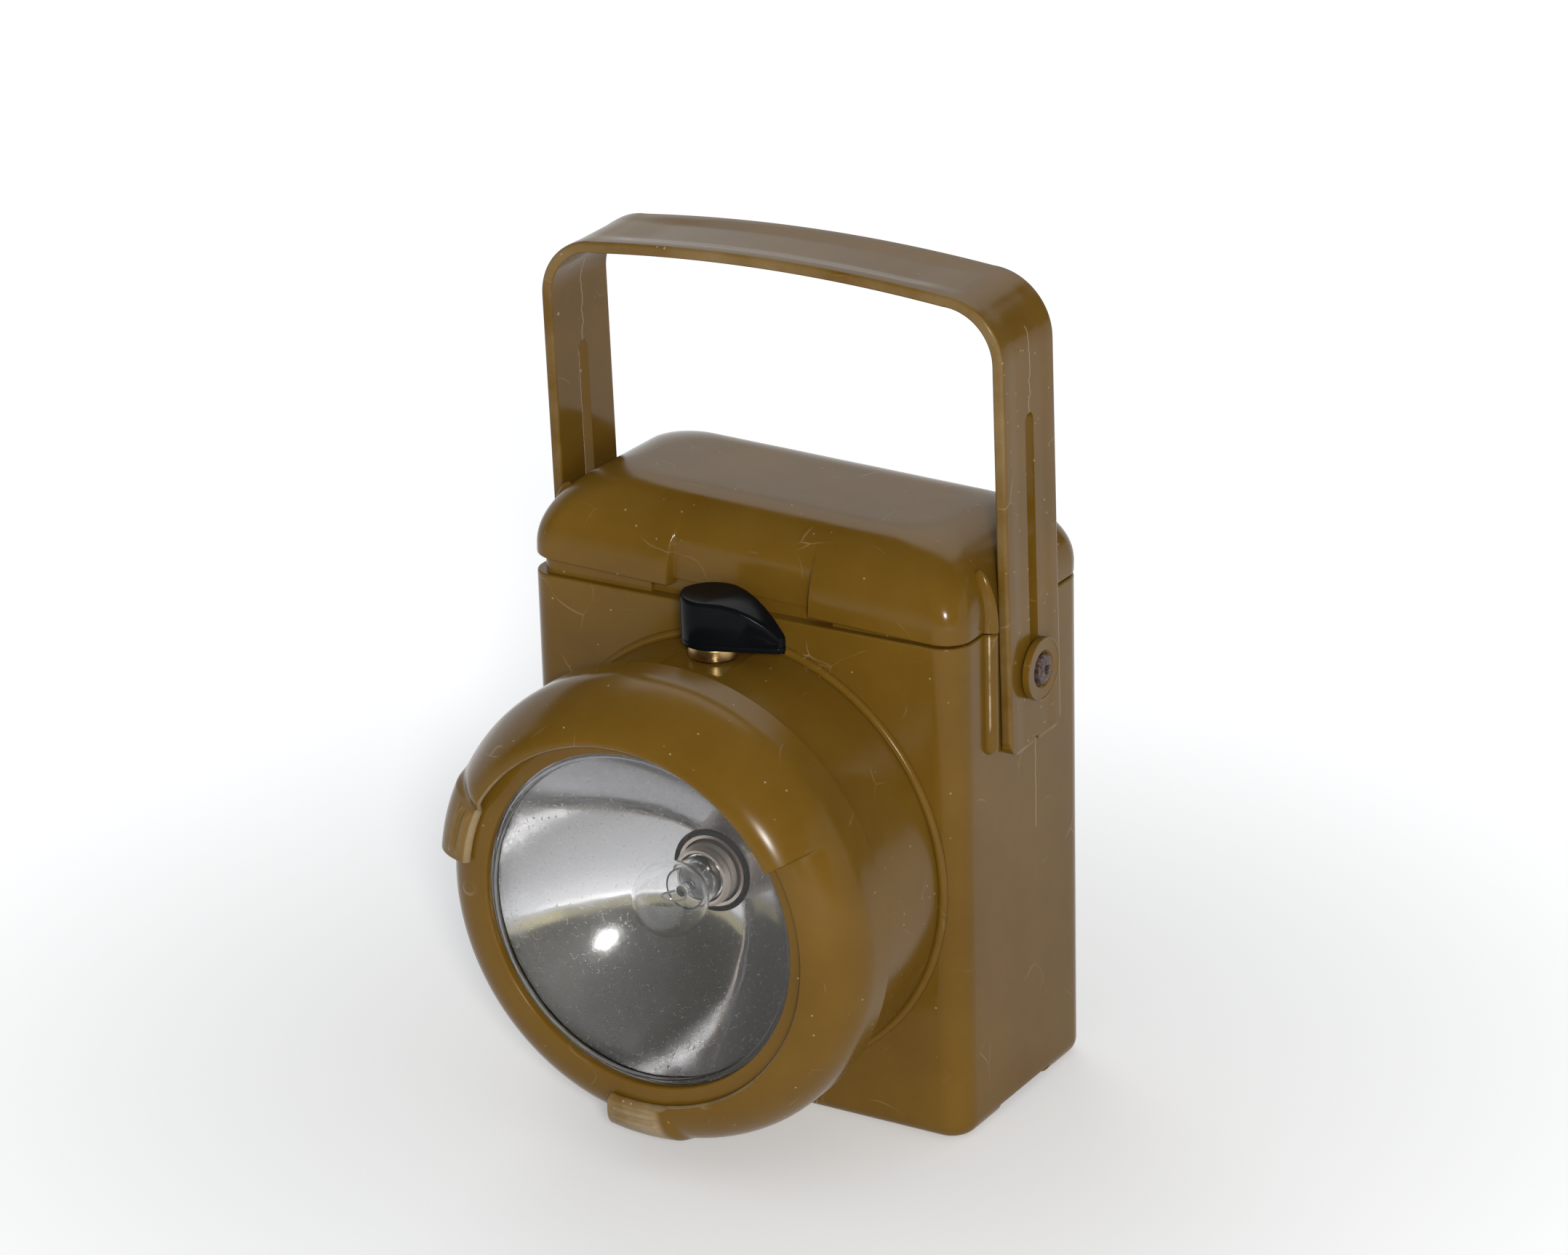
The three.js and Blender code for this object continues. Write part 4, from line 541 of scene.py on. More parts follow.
# Bezel: a ring of the olive plastic, turned and screwed on the neck; its round shoulder ends in
# a lip over the lens.
bezel_radius, bezel_round, bezel_round_length = 35.55, 7.0, 7.5
bezel_back, bezel_front, lip_back, lip_start = 19.2, 31.0, 29.5, 28.0
lens_opening, lens_pocket, gasket_back, thread_play = 26.6, 29.7, 26.6, 0.35
round_middle, round_start = bezel_radius - bezel_round, bezel_front - bezel_round_length
bezel = lathe("bezel_round", np.concatenate([
    [(neck_radius + thread_play, bezel_back), (bezel_radius - 0.3, bezel_back),
     (bezel_radius, bezel_back + 0.3)],
    arc(round_middle, round_start, bezel_round, bezel_round_length, np.linspace(0.0, math.pi / 2, 25)),
    softened([(lip_start, bezel_front), (lens_opening, bezel_front), (lens_opening, lip_back),
              (lip_start, lip_back)], [0, 0.5, 0.15, 0], 6)[7:-7],
    [(lens_pocket, lip_back), (lens_pocket, gasket_back), (neck_radius + thread_play, gasket_back)]]), 256)
dress(bezel, "case", "olive_plastic", olive, "bezel_ring")


# Shade: a thin band that turns on the bezel, from its left side over the top to its foot,
# with a brow lifted off the lens, a straight step at its right end and a squared tab at each end.
shade_clearance, shade_wall, shade_lift, edge_round = 0.35, 1.15, 2.7, 0.32
shade_start, shade_end, brow_start, brow_end, tab_span = -82.0, 190.0, -62.0, 60.0, 18.0
fine_span, brow_step, rear_share, edge_turn = 24.0, 0.7, 0.12, math.radians(84.0)
ridge_first, ridge_gap, ridge_height = 0.9, 1.7, 0.5


def eased(x):
    """The smooth step 3x^2 - 2x^3 of x held between 0 and 1."""
    x = np.clip(x, 0.0, 1.0)
    return x * x * (3 - 2 * x)


def shade_surface(degrees, share, extra, tabbed):
    """Points of the band's skin: a quarter ellipse in front of a straight rear part, lifted
    forward along the brow and squared at the tabs. share runs 0 to 1 from rear edge to lip."""
    rise = eased((degrees - brow_start + tab_span / 6) / (tab_span / 2))
    lifted = rise * (1 - eased((degrees - brow_end) / brow_step))
    left = eased((shade_start + tab_span + tab_span / 6 - degrees) / (tab_span / 6))
    right = eased((degrees - shade_end + tab_span + tab_span / 6) / (tab_span / 6))
    squared = np.maximum(left, right) * tabbed
    power = 1 - 0.26 * squared
    along = np.clip((share - rear_share) / (1 - rear_share), 0.0, 1.0)
    angle = along * edge_turn
    r = round_middle + (bezel_round + extra) * np.cos(angle) ** power
    s = round_start + (bezel_round_length + extra) * np.sin(angle) ** power
    s = s + shade_lift * lifted * eased((along - 0.25) / 0.75)
    lip = (bezel_round + extra) * math.cos(edge_turn) ** 0.74
    from_end = np.minimum(degrees - shade_start, shade_end - degrees)
    for index, wide in ((0, 0.5), (1, 0.36)):
        ridge_away = np.abs(r - round_middle - lip - ridge_first - ridge_gap * index) / wide
        ridge = ridge_height * squared * (1 - eased(ridge_away - 0.5))
        s = s + ridge * eased(from_end / 3.0 - 0.3) * eased((tab_span - from_end) / 3.0 - 0.3)
    rear = bezel_back + 0.3
    straight = np.clip(share / rear_share, 0.0, 1.0)
    return r, np.where(share < rear_share, rear + (round_start - bezel_back - 0.3) * straight, s)


def stations(places, counts):
    """Values from each place to the next, that many for each stretch."""
    return np.unique(np.concatenate([
        np.linspace(start, end, count) for start, end, count in zip(places, places[1:], counts)]))


degrees = stations((shade_start, shade_start + fine_span, brow_end, brow_end + brow_step,
                    shade_end - fine_span, shade_end), (40, 110, 6, 100, 40))[:, None]
share = stations((0.0, rear_share, 0.6, 1.0), (6, 28, 64))[None, :]
outer_r, outer_s = shade_surface(degrees, share, shade_clearance + shade_wall, 1.0)
inner_r, inner_s = shade_surface(degrees, share, shade_clearance, 0.0)
lip_mix = np.array([[0.12, 0.3, 0.5, 0.7, 0.88]])
lip_r = (outer_r[:, -1:] * (1 - lip_mix) + inner_r[:, -1:] * lip_mix
         - edge_round * np.sin(np.pi * lip_mix))
lip_s = outer_s[:, -1:] * (1 - lip_mix) + inner_s[:, -1:] * lip_mix
loop_r = np.concatenate([outer_r, lip_r, inner_r[:, ::-1]], 1)
loop_s = np.concatenate([outer_s, lip_s, inner_s[:, ::-1]], 1)
phi = np.radians(degrees)
shade_points = spread(loop_r * np.sin(phi), case_front - loop_s, head_height + loop_r * np.cos(phi))
rows, columns = shade_points.shape[:2]
half = share.shape[1]
cap_at = np.arange(half - 1)
end_cap = np.stack([cap_at, cap_at + 1, columns - 2 - cap_at, columns - 1 - cap_at], 1)
lip_cap = np.arange(half - 1, half + 6)
shade_faces = grid_faces(rows, columns).tolist()
for end in (0, (rows - 1) * columns):
    shade_faces += (end_cap + end).tolist()
for end in (0, (rows - 1) * columns):
    shade_faces.append(end + lip_cap)
# Pale places on the band: its tabs are rubbed pale, and its lip is painted pale all along, partly rubbed and
# partly a painted highlight on the rounded edge.
end_distance = np.minimum(degrees - shade_start, shade_end - degrees)
near_end = 1 - eased((end_distance - tab_span + 3) / 3)
end_wear = np.where(degrees < 0, 0.1, 0.55)
shade_wear_and_highlight = np.zeros((rows, columns))
shade_wear_and_highlight[:, :half] = near_end * end_wear * (0.2 + 0.8 * eased((share - 0.45) / 0.3))
shade_wear_and_highlight[:, half:half + 5] = 0.4
shade = mesh_object("shade_band", shade_points, shade_faces, wear_and_highlight=shade_wear_and_highlight)
dress(shade, "hood", "olive_plastic", olive, "hood_shade")


# Reflector: a thin metal bowl pressed to a paraboloid and silvered, with a flat flange that rests
# on the front of the snout and a short neck round the bulb.
focal, flange_front, mouth_radius, hole_radius = 10.5, 26.3, 27.4, 6.5
flange_radius, bowl_wall, bowl_neck = 32.6, 0.8, 2.4
silvered, bowl_tree, bowl_place, bowl_shader = material("silvered_bowl")
bowl_haze = use_group(bowl_tree, haze_group, bowl_place, Per_Metre=110.0)
bowl_marks = use_group(bowl_tree, scratch_group, bowl_place, Per_Metre=800.0, Share=0.44, Width=0.04)
bowl_dust = use_group(bowl_tree, dust_group, bowl_place, Per_Metre=1100.0, Share=0.3, Size=0.15)
bowl_worn = maths(bowl_tree, "MAXIMUM", bowl_marks["Lines"], bowl_dust["Specks"])
bowl_rough = ranged(bowl_tree, bowl_haze["Haze"], 0.4, 0.75, 0.05, 0.2)
feed(bowl_tree, bowl_shader, {
    "Base Color": (0.53, 0.53, 0.545, 1), "Metallic": 1.0,
    "Roughness": maths(bowl_tree, "MULTIPLY_ADD", bowl_worn, 0.45, bowl_rough),
    "Coat Weight": 1.0, "Coat Roughness": 0.38, "Coat IOR": 2.2,
    "Normal": node(bowl_tree, "Bump", {"Strength": 0.06, "Distance": 0.0004, "Height": bowl_haze["Waves"]})})
bowl_r = np.linspace(hole_radius, mouth_radius, 60)
bowl_s = flange_front - mouth_radius ** 2 / (4 * focal) + bowl_r ** 2 / (4 * focal)
bowl = lathe("reflector_bowl", np.concatenate([
    [(hole_radius, bowl_s[0] - bowl_neck)], np.column_stack([bowl_r, bowl_s]),
    [(mouth_radius + 0.5, flange_front), (flange_radius, flange_front),
     (flange_radius, flange_front - bowl_wall)],
    np.column_stack([bowl_r + 0.4, bowl_s - bowl_wall])[::-1][:-1],
    [(hole_radius + bowl_wall, bowl_s[0] - bowl_wall), (hole_radius + bowl_wall, bowl_s[0] - bowl_neck)]]))
dress(bowl, "case", "mirror", silvered, "reflector")


# Lens and gasket: a clear plastic window with a faintly domed front and a small bead round it,
# held against the bezel's lip on a grey rubber ring.
lens_back, lens_front, lens_radius, dome_radius, dome_rise = 27.7, 29.2, 29.4, 26.3, 0.9
bead_centre, bead_width, bead_height = 25.95, 0.48, 0.5
gasket_width, gasket_front = 1.6, 27.4
lens_clear, lens_tree, lens_place, lens_shader = material("clear_window")
lens_dust = use_group(lens_tree, dust_group, lens_place, Per_Metre=800.0, Share=0.08, Size=0.13)
feed(lens_tree, lens_shader, {
    "Base Color": (1, 1, 1, 1), "Transmission Weight": 1.0, "IOR": 1.3,
    "Roughness": maths(lens_tree, "MULTIPLY", lens_dust["Specks"], 0.5)})
dome_r = np.linspace(25.3, 0.0, 30)
window = lathe("lens_window", np.concatenate([
    [(0.0, lens_back), (lens_radius - 0.2, lens_back), (lens_radius, lens_back + 0.2),
     (lens_radius, lens_front), (bead_centre + bead_width, lens_front)],
    arc(bead_centre, lens_front + 0.25, bead_width, bead_height, np.linspace(0.0, math.pi, 11)),
    [(bead_centre - bead_width, lens_front + 0.06)],
    np.column_stack([dome_r, lens_front + dome_rise * (1 - (dome_r / dome_radius) ** 2)])]),
    128, closed=False)
dress(window, "case", "clear_plastic", lens_clear, "lens")


def mottled(name, per_metre, first, second, roughness, metallic=0.0):
    """A plain finish whose colour drifts between two tones in smears; its roughness is one
    number, or drifts between two in the same way."""
    made, tree, place, shader = material(name)
    haze = use_group(tree, haze_group, place, Per_Metre=per_metre)["Haze"]
    if isinstance(roughness, tuple):
        roughness = ranged(tree, haze, 0.3, 0.7, *roughness)
    feed(tree, shader, {"Base Color": mix_colour(tree, haze, first, second),
                        "Roughness": roughness, "Metallic": metallic})
    return made


# The ring's pale grey is partly its colour and partly a painted reflection: it is made light so that the
# bowl mirrors it as a bright line round its rim.
rubber = mottled("pale_rubber_painted_reflection", 200.0, (0.6, 0.6, 0.6, 1), (0.8, 0.8, 0.79, 1), 0.35)
gasket = lathe("gasket_ring", softened([
    (lens_radius - gasket_width, gasket_back), (lens_radius, gasket_back), (lens_radius, gasket_front),
    (lens_radius - gasket_width, gasket_front)], [0.2] * 4, 4), 160)
dress(gasket, "case", "rubber", rubber, "lens_gasket")


# Lid: a deep slip-on cap with a domed top, set a little askew on the case's lip, with a shallow
# flat recess at its front and a pointed fin that covers each guide rib. Its top is left bare.
lid_height, lid_round, lid_wall, lip_room, skirt_height = 13.2, 11.5, 2.2, 1.0, 3.9
recess_half, recess_depth, recess_inside, recess_limit, recess_blend = 12.2, 1.5, 1.1, 3.0, 0.9
lid_seat, lid_tilt, lid_sharp = 81.1, math.radians(1.79), 40.0
fin_inset, fin_reach, fin_width, fin_height = 1.7, 3.35, 1.4, 9.3
recess_edge = np.linspace(0.33, 0.41, 28)
lid_spread = np.unique(np.concatenate([np.linspace(-0.97, 0.97, 41), recess_edge, -recess_edge]))
lid_turn = np.linspace(0.0, math.pi / 2, 30)
shoulder, inner_round = lid_height - lid_round, lid_round - lid_wall
inner_rows = whole(arc(lid_round, shoulder, -inner_round, inner_round, lid_turn))[::-1]
skirt = softened([(lid_wall, 3.0), (lid_wall, skirt_height), (lip_room, skirt_height), (lip_room, 0.0),
                  (0.0, 0.0), (0.0, 1.2)], [0, 0.1, 0.1, 0.2, 0.4, 0], 5)[6:-6]
outer_rows = whole(arc(lid_round, shoulder, -lid_round, lid_round, lid_turn))
lid_rows = np.concatenate([
    [(lid_round, lid_height - lid_wall, shrink) for shrink in (0.0, 0.6)],
    inner_rows[:-1][inner_rows[:-1, 1] > skirt_height + 0.3], [(lid_wall, 4.15, 1.0)],
    whole(skirt), [(0.0, 1.0, 1.0)], outer_rows,
    [(lid_round, lid_height, shrink) for shrink in (0.9, 0.5, 0.0)]])
lid_points = lofted(lid_rows, plan_columns(14, lid_spread, 16),
                    lambda inset: case_corner + 0.3 * inset - 0.9 * np.clip(inset - 20, 0, None))
lid_x, lid_y = lid_points[..., 0], lid_points[..., 1]
outside = (np.arange(len(lid_rows)) >= len(lid_rows) - len(outer_rows) - 4)[:, None]
back_wall = case_front + np.where(outside, recess_depth, recess_depth + recess_inside)
pressed = (lid_y + back_wall + np.hypot(lid_y - back_wall, recess_blend)) / 2
recess_share = 1 - eased((np.abs(lid_x) - recess_half + 0.35) / 0.7)
lid_points[..., 1] += recess_share * np.minimum(pressed - lid_y, recess_limit)
lid_cap = mesh_object("lid_cap", lid_points, grid_faces(*lid_points.shape[:2]), lid_sharp)


def fin(side):
    """A pointed bulge: an ellipsoid over the guide rib whose radius falls as cos^1.25."""
    rise = np.linspace(-math.pi / 2, math.pi / 2, 33)[:, None]
    turn = np.linspace(0.0, 2 * math.pi, 48, endpoint=False)[None, :]
    radius = np.cos(rise) ** 1.25
    points = spread(side * (case_half_width - fin_inset) + fin_reach * radius * np.cos(turn),
                    rib_y + fin_width * radius * np.sin(turn), fin_height * np.sin(rise))
    return mesh_object("fin", points, grid_faces(33, 48))


combined(lid_cap, [fin(-1), fin(1)], "UNION", lid_sharp)
combined(lid_cap, [block("below", (-60, -40, -20), (60, 60, 0.0))], "DIFFERENCE", lid_sharp)
lid_cap.data.transform(
    Matrix.Translation((case_half_width * MM, 0, lid_seat * MM)) @ Matrix.Rotation(lid_tilt, 4, "Y")
    @ Matrix.Translation((-case_half_width * MM, 0, 0)))
even_normals(lid_cap)
dress(lid_cap, "lid", "olive_plastic", olive, "lid", "lid_fin_left", "lid_fin_right")


# Strap handle: one flat strap bent over the lid, dished along its back, with a long slot in
# each leg that lets it slide on the side screws, and a small notch in each foot.
strap_width, strap_thick, strap_reach, strap_drop = 16.0, 1.8, 60.0, 12.0
strap_inside, strap_bend, strap_crown, strap_lean = 38.4, 9.8, 1.6, math.radians(1.6)
slot_radius, slot_length, notch_radius, foot_corner = 1.26, 42.0, 0.8, 2.4
half_width, half_thick = strap_width / 2, strap_thick / 2
middle, bend_middle = strap_inside + half_thick, strap_bend - half_thick
leg = np.concatenate([[-strap_drop, 0.25 - strap_drop],
                      np.linspace(0.5 - strap_drop, strap_reach - strap_bend, 58)])
bend = np.linspace(0.0, math.pi / 2, 24)[1:]
crown = np.linspace(0.0, 1.0, 70)[1:-1]
left_x = np.concatenate([np.full(60, -middle), -middle + bend_middle * (1 - np.cos(bend))])
left_z = np.concatenate([leg, strap_reach - strap_bend + bend_middle * np.sin(bend)])
path_x = np.concatenate([left_x, -(middle - bend_middle) * (1 - 2 * crown), -left_x[::-1]])
path_z = np.concatenate([left_z, strap_reach - half_thick + 4 * strap_crown * crown * (1 - crown),
                         left_z[::-1]])
step_x, step_z = np.gradient(path_x), np.gradient(path_z)
length = np.hypot(step_x, step_z)
rounded = softened([(-half_width, half_thick), (-half_width, -half_thick), (half_width, -half_thick),
                    (half_width, half_thick)], [0.6, 0.5, 0.5, 0.6], 6)
back = np.linspace(half_width - 0.8, 0.8 - half_width, 28)
across, raised = np.concatenate([rounded, np.column_stack([back, np.full(28, half_thick)])]).T
dish = (raised > half_thick - 0.01) * (1 - eased((np.abs(across) - 3.5) / 2.9))
dish_depth = 0.1 + 0.35 * (1 - eased((np.abs(path_x) - 22.0) / 9.0))
lift = raised[None, :] - dish_depth[:, None] * dish[None, :]
strap_points = spread(path_x[:, None] + (-step_z / length)[:, None] * lift, across,
                      path_z[:, None] + (step_x / length)[:, None] * lift)
rows, columns = lift.shape
strap_faces = grid_faces(rows, columns).tolist()
strap_faces += [list(range(columns)), list(range((rows - 1) * columns, rows * columns))]
# Pale lines along the strap's edges and across its feet: partly rubbed plastic, partly a painted edge
# highlight that marks the edges.
edge_wear_and_highlight = 0.16 * (np.abs(across) > half_width - 0.35)
foot_wear_and_highlight = 0.5 * (path_z < 0.3 - strap_drop)
strap = mesh_object("strap_handle", strap_points, strap_faces,
                    wear_and_highlight=np.maximum(edge_wear_and_highlight[None, :], foot_wear_and_highlight[:, None]))


def crossbar(name, y, z, reach=50.0):
    """A bar that runs sideways through both legs, with the outline of the (y, z) points."""
    count = len(y)
    points = spread([[-reach], [reach]], y, z)
    faces = grid_faces(2, count).tolist() + [list(range(count)), list(range(count, 2 * count))]
    return mesh_object(name, points, faces)


def stadium(name, radius, low, high):
    """A crossbar with half circles of that radius as its lower and upper end."""
    turn = np.linspace(0.0, math.pi, 25)
    return crossbar(name, np.concatenate([-radius * np.cos(turn), radius * np.cos(turn)]),
                    np.concatenate([low + radius - radius * np.sin(turn),
                                    high - radius + radius * np.sin(turn)]))


def corner_cut(side):
    """A crossbar that takes off what lies outside a quarter circle at a foot's corner."""
    y = side * (half_width - foot_corner + foot_corner * np.cos(quarter_turn))
    z = -strap_drop + foot_corner - foot_corner * np.sin(quarter_turn)
    past_y, past_z = side * (half_width + 2), -strap_drop - 2
    return crossbar("corner_cut", np.concatenate([y, [side * (half_width - foot_corner), past_y, past_y]]),
                    np.concatenate([z, [past_z, past_z, -strap_drop + foot_corner]]))


combined(strap, [stadium("slot", slot_radius, -slot_radius, slot_length - slot_radius),
                 stadium("notch", notch_radius, -strap_drop - notch_radius, -strap_drop + notch_radius),
                 corner_cut(-1), corner_cut(1)], "DIFFERENCE")
strap.data.transform(Matrix.Translation((0, case_middle * MM, screw_height * MM))
                     @ Matrix.Rotation(strap_lean, 4, "X"))
even_normals(strap)
strap_olive = worn_plastic("strap_olive_plastic", (case_middle * MM - 0.0021, 0.1125, 0.126, 0.0024))
dress(strap, "handle", "olive_plastic", strap_olive, "handle")


# Side discs and screws: a dished plastic washer on each side that holds the leg, and a rusted
# steel screw through it into the case.
disc_radius, disc_height, dish_radius, dish_floor = 4.9, 1.2, 2.95, 0.5
shank_radius, head_radius, screw_inside = 1.2, 2.4, 33.2
rust, rust_tree, rust_place, rust_shader = material("rusted_screw")
rust_haze = use_group(rust_tree, haze_group, rust_place, Per_Metre=1500.0)["Haze"]
rust_share = ranged(rust_tree, rust_haze, 0.42, 0.62)
feed(rust_tree, rust_shader, {
    "Base Color": mix_colour(rust_tree, rust_share, (0.012, 0.006, 0.005, 1), (0.16, 0.085, 0.07, 1)),
    "Roughness": 0.38,
    "Normal": node(rust_tree, "Bump", {"Strength": 1.0, "Distance": 0.0011, "Height": rust_haze})})
disc_inside = strap_inside + strap_thick + 0.3
disc_outside, seat = disc_inside + disc_height, disc_inside + dish_floor + 0.25
disc_profile = softened([
    (screw_bore, disc_inside), (disc_radius, disc_inside), (disc_radius, disc_outside),
    (disc_radius - 0.25, disc_outside), (disc_radius - 0.35, disc_outside - 0.1),
    (dish_radius, disc_outside - 0.1), (dish_radius - 0.45, disc_inside + dish_floor),
    (screw_bore, disc_inside + dish_floor)], [0.1, 0.2, 0.15, 0.05, 0.05, 0.07, 0.07, 0.1], 4)
screw_profile = np.array([
    (0.0, screw_inside), (shank_radius, screw_inside), (shank_radius, seat), (head_radius, seat),
    (head_radius, seat + 0.3), (head_radius - 0.2, seat + 0.6), (shank_radius, seat + 0.9),
    (0.75, seat + 0.9), (0.6, seat + 0.4), (0, seat + 0.4)])
for side, word in ((-1, "left"), (1, "right")):
    centre = (0, case_middle, screw_height)
    disc = turned(f"side_disc_{word}", 0, centre, disc_profile * (1, side), 96, closed=True)
    dress(disc, "case", "olive_plastic", olive, f"handle_disc_{word}")
    screw = turned(f"side_screw_{word}", 0, centre, screw_profile * (1, side))
    dress(screw, "case", "rusty_steel", rust, f"handle_screw_{word}")


# Switch: a black moulded lever knob on a bush of turned brass that stands on the snout's flat;
# the knob points along the case or across it.
knob_radius, knob_height, knob_tip_radius, knob_tip_height = 5.0, 7.5, 1.1, 2.3
knob_reach, knob_bottom, knob_edge, knob_sharp = 12.35, 78.5, 0.55, 50.0
bush_radius, bush_inside, bush_collar = 3.3, 2.35, 4.0
bush_foot, bush_seat, bush_top = 69.5, 76.3, 78.2
knob_black = worn_plastic("black_plastic", NO_LINE, (0.0045, 0.005, 0.006, 1), (0.003, 0.0032, 0.004, 1),
                          (0.2, 0.2, 0.2, 1), 0.03, 0.09, 0.05)
tip_centre = knob_reach - knob_tip_radius
lead = math.acos((knob_radius - knob_tip_radius) / tip_centre)
outline_turn = np.concatenate([np.linspace(-lead, lead, 21)[:-1],
                               np.linspace(lead, 2 * math.pi - lead, 61)[:-1]])
tip_part = np.arange(len(outline_turn)) < 20
outline_radius = np.where(tip_part, knob_tip_radius, knob_radius)
plan_x = np.where(tip_part, tip_centre, 0.0) + outline_radius * np.cos(outline_turn)
plan_y = outline_radius * np.sin(outline_turn)


def filled(start, end, far):
    """The outline's starts, with four more points on the way to the end where that is far."""
    dense = np.linspace(0, 1, 6)[:-1]
    return np.concatenate([a + (b - a) * dense if wide else np.array([a])
                           for a, b, wide in zip(start, end, far)])


def knob_top(x):
    """Height of the knob's back over its axis: the cubic curve (1-t)^3 A + 3t(1-t)^2 B +
    3t^2(1-t) C + t^3 D, level over the head, then falling to the tail."""
    t = np.linspace(0.0, 1.0, 200)
    curve_x, curve_z = (
        a * (1 - t) ** 3 + 3 * b * t * (1 - t) ** 2 + 3 * c * t ** 2 * (1 - t) + d * t ** 3
        for a, b, c, d in ((1.67, 6.2, 9.9, knob_reach), (knob_height, knob_height, 4.8, knob_tip_height)))
    return np.interp(x, curve_x, curve_z)


next_x, next_y = np.roll(plan_x, -1), np.roll(plan_y, -1)
far = np.hypot(next_x - plan_x, next_y - plan_y) > 1.5
plan_x, plan_y = filled(plan_x, next_x, far), filled(plan_y, next_y, far)
top_share = np.array([1.0, 0.985, 0.96, 0.93, 0.9, 0.8, 0.65, 0.5, 0.35, 0.2, 0.1, 0.0])[:, None]
foot_share = np.array([0.0, 0.5, 0.94, 0.985, 1.0])[:, None]
groove_share = np.array([1.0, 0.975, 1.0])[:, None]
inward = (1 - top_share) * np.maximum(np.abs(plan_y), 0.8)
edge_fall = knob_edge - np.sqrt(np.maximum(
    knob_edge ** 2 - np.clip(knob_edge - inward, 0, knob_edge) ** 2, 0))
knob_x = np.concatenate([plan_x * np.where(foot_share > 0.9, foot_share, 1.0),
                         plan_x * (1 + (groove_share - 1) * 0.6), np.broadcast_to(plan_x, inward.shape)])
knob_y = np.concatenate([plan_y * foot_share, plan_y * groove_share, plan_y * top_share])
knob_z = np.concatenate([np.array([0.0, 0.0, 0.0, 0.06, 0.25, 0.9, 1.0, 1.08])[:, None] + 0 * plan_x,
                         knob_top(plan_x) - edge_fall])
knob_points = spread(knob_x, knob_y + case_front - switch_setback, knob_z + knob_bottom)
knob = mesh_object("lever_knob", knob_points, grid_faces(*knob_points.shape[:2]), knob_sharp)
dress(knob, "switch", "black_plastic", knob_black, "switch_knob")

brass = mottled("turned_brass", 300.0, (0.42, 0.26, 0.09, 1), (0.72, 0.53, 0.25, 1), (0.22, 0.42), 1.0)
bush = turned("brass_bush", 2, (0, case_front - switch_setback, 0), softened([
    (bush_inside, bush_foot), (bush_radius, bush_foot), (bush_radius, bush_seat),
    (bush_collar, bush_seat), (bush_collar, bush_top), (bush_inside, bush_top)],
    [0.1, 0.1, 0.05, 0.15, 0.25, 0.1], 4), 64, closed=True)
dress(bush, "case", "brass", brass, "switch_bush")


# Bulb: a clear blown globe with a bowed filament on a pinched stem, cemented in a cap of dull
# plated brass with a rolled thread. The stem and the filament keep their CAD solids.
bulb_tip, bulb_length, globe_radius, glass_wall, bulb_neck = 2.9, 23.5, 5.75, 0.45, 3.6
cap_start, cap_length, cap_radius, cap_inside = 4.5, 8.0, 4.75, 3.9
thread_wave, thread_pitch = 0.225, 1.6
bulb_clear, bulb_tree, bulb_place, bulb_shader = material("bulb_glass")
bulb_film = use_group(bulb_tree, haze_group, bulb_place, Per_Metre=400.0)["Haze"]
feed(bulb_tree, bulb_shader, {
    "Base Color": (1, 1, 1, 1), "Transmission Weight": 1.0, "IOR": 1.45,
    "Roughness": ranged(bulb_tree, bulb_film, 0.5, 0.8, 0.0, 0.12)})
globe_centre = bulb_tip + bulb_length - globe_radius
neck_back = cap_start + cap_length - glass_wall


def globe(radius, neck):
    """The half outline of the globe from its neck to its front, as (radius, distance)."""
    angle = np.linspace(math.pi - math.asin(neck / radius), 0.0, 48)
    return np.column_stack([radius * np.sin(angle), globe_centre + radius * np.cos(angle)])


bulb = lathe("bulb_globe", np.concatenate([
    globe(globe_radius - glass_wall, bulb_neck - glass_wall)[::-1],
    [(bulb_neck - glass_wall, neck_back), (bulb_neck, neck_back)],
    globe(globe_radius, bulb_neck)]), 96, closed=False)
dress(bulb, "case", "bulb_clear_glass", bulb_clear, "bulb_glass")

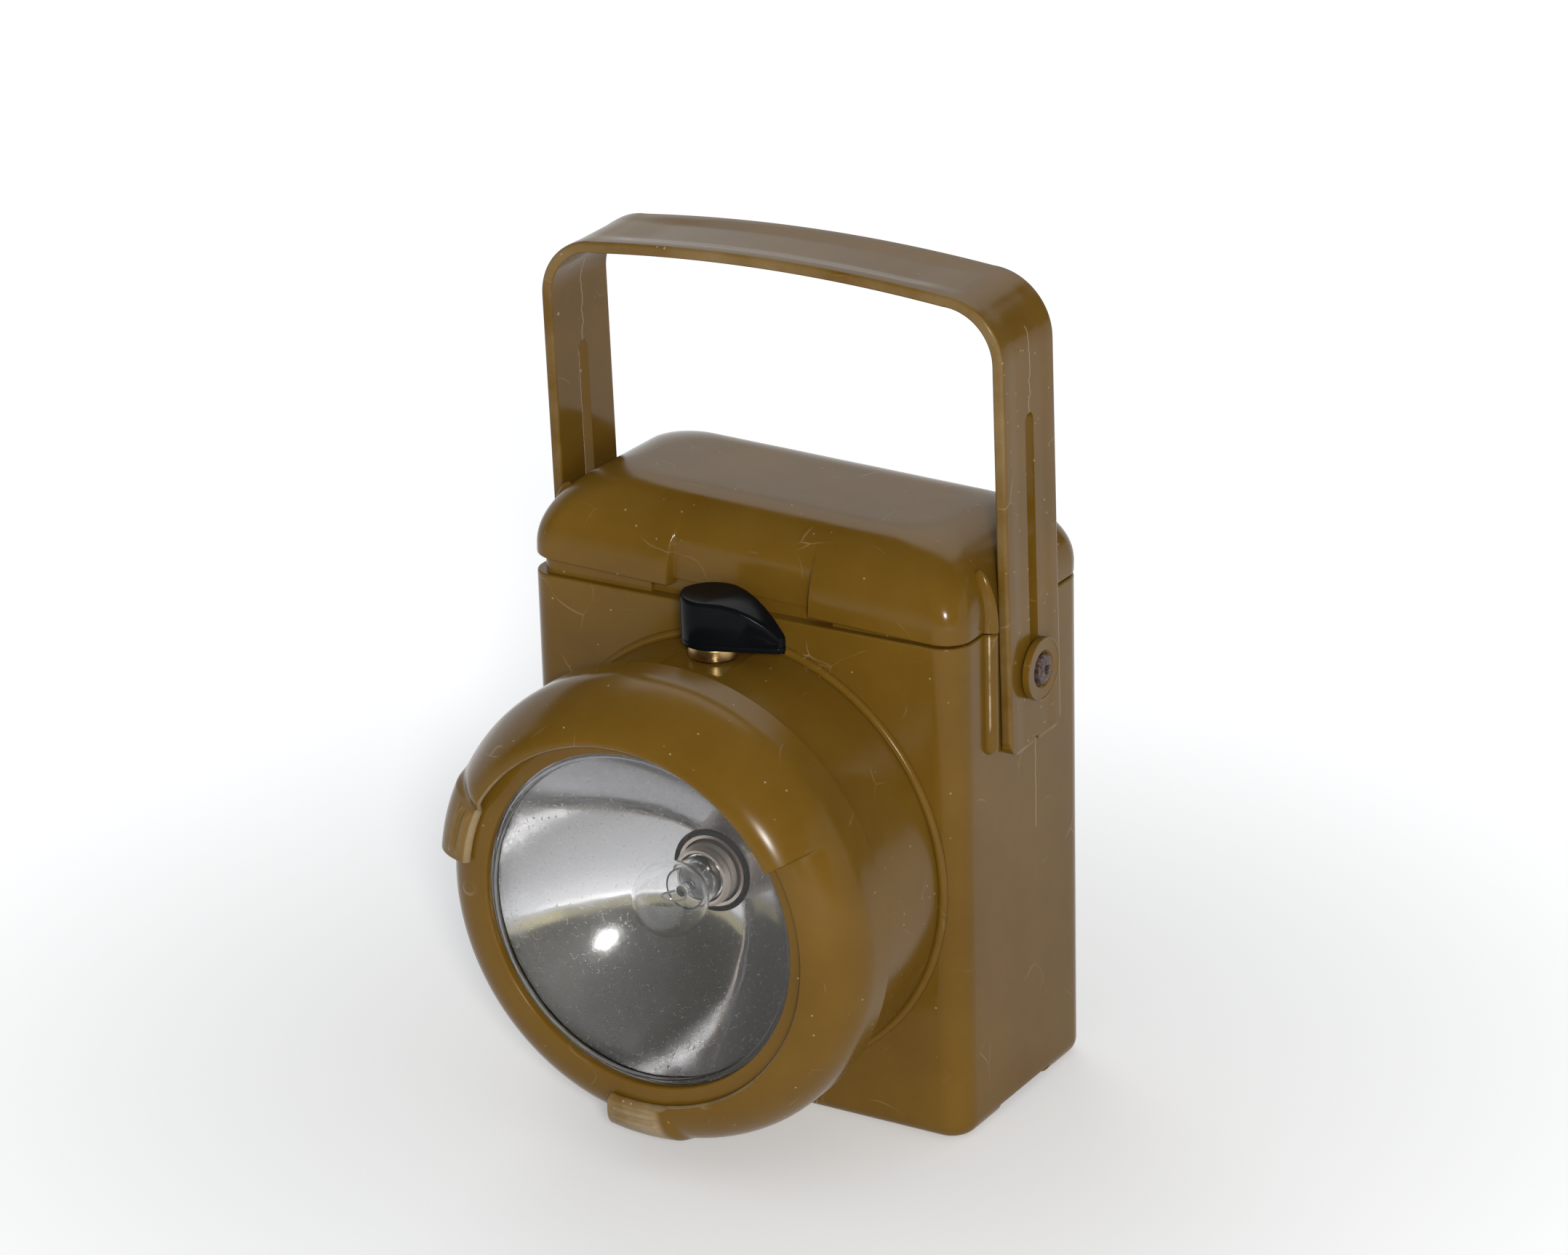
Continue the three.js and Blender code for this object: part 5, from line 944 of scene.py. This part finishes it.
plated = mottled("dull_plated_brass", 300.0, (0.42, 0.33, 0.26, 1), (0.72, 0.66, 0.6, 1), 0.38, 1.0)
thread = np.linspace(0.0, cap_length, 80)
thread_r = cap_radius - thread_wave + thread_wave * np.cos(2 * math.pi * thread / thread_pitch + math.pi)
bulb_cap = lathe("bulb_screw_cap", np.concatenate([
    np.column_stack([thread_r, cap_start + thread]),
    [(cap_inside, cap_start + cap_length), (cap_inside, cap_start + 0.5),
     (cap_inside - 0.5, cap_start)]]), 96)
dress(bulb_cap, "case", "brass", plated, "bulb_cap")


# Hidden works: the socket, the switch's contacts, the cells, the springs, the contact board and
# the wires keep their CAD solids and get their own finishes.
label_edge, label_blend = 0.018, 0.0001
steel = mottled("plated_steel", 300.0, (0.4, 0.4, 0.42, 1), (0.62, 0.62, 0.63, 1), 0.35, 1.0)
board = mottled("laminated_board", 150.0, (0.13, 0.05, 0.02, 1), (0.24, 0.11, 0.05, 1), 0.55)
wire = mottled("wire_insulation", 250.0, (0.2, 0.015, 0.012, 1), (0.34, 0.03, 0.025, 1), 0.5)
jacket, jacket_tree, jacket_place, jacket_shader = material("lacquered_can")
jacket_haze = use_group(jacket_tree, haze_group, jacket_place, Per_Metre=90.0)["Haze"]
can_height = node(jacket_tree, "SeparateXYZ", {0: jacket_place}).outputs["Z"]
can_band = ranged(jacket_tree, can_height, label_edge - label_blend, label_edge + label_blend)
feed(jacket_tree, jacket_shader, {
    "Base Color": mix_colour(jacket_tree, can_band, (0.5, 0.36, 0.12, 1), (0.03, 0.07, 0.04, 1)),
    "Roughness": ranged(jacket_tree, jacket_haze, 0.3, 0.7, 0.2, 0.4)})
finish_of = {"brass": brass, "steel": steel, "insulating_board": board, "cell_jacket": jacket,
             "wire_insulation": wire, "black_plastic": knob_black, "bulb_clear_glass": bulb_clear,
             "olive_plastic": olive, "rubber": rubber, "mirror": silvered,
             "rusty_steel": rust, "clear_plastic": lens_clear}
for row in frame["record"]["subparts"]:
    kept = frame["nodes"][row["node"]]
    kept.data.materials.clear()
    kept.data.materials.append(plated if row["node"] == "lamp_socket" else finish_of[row["material_slot"]])
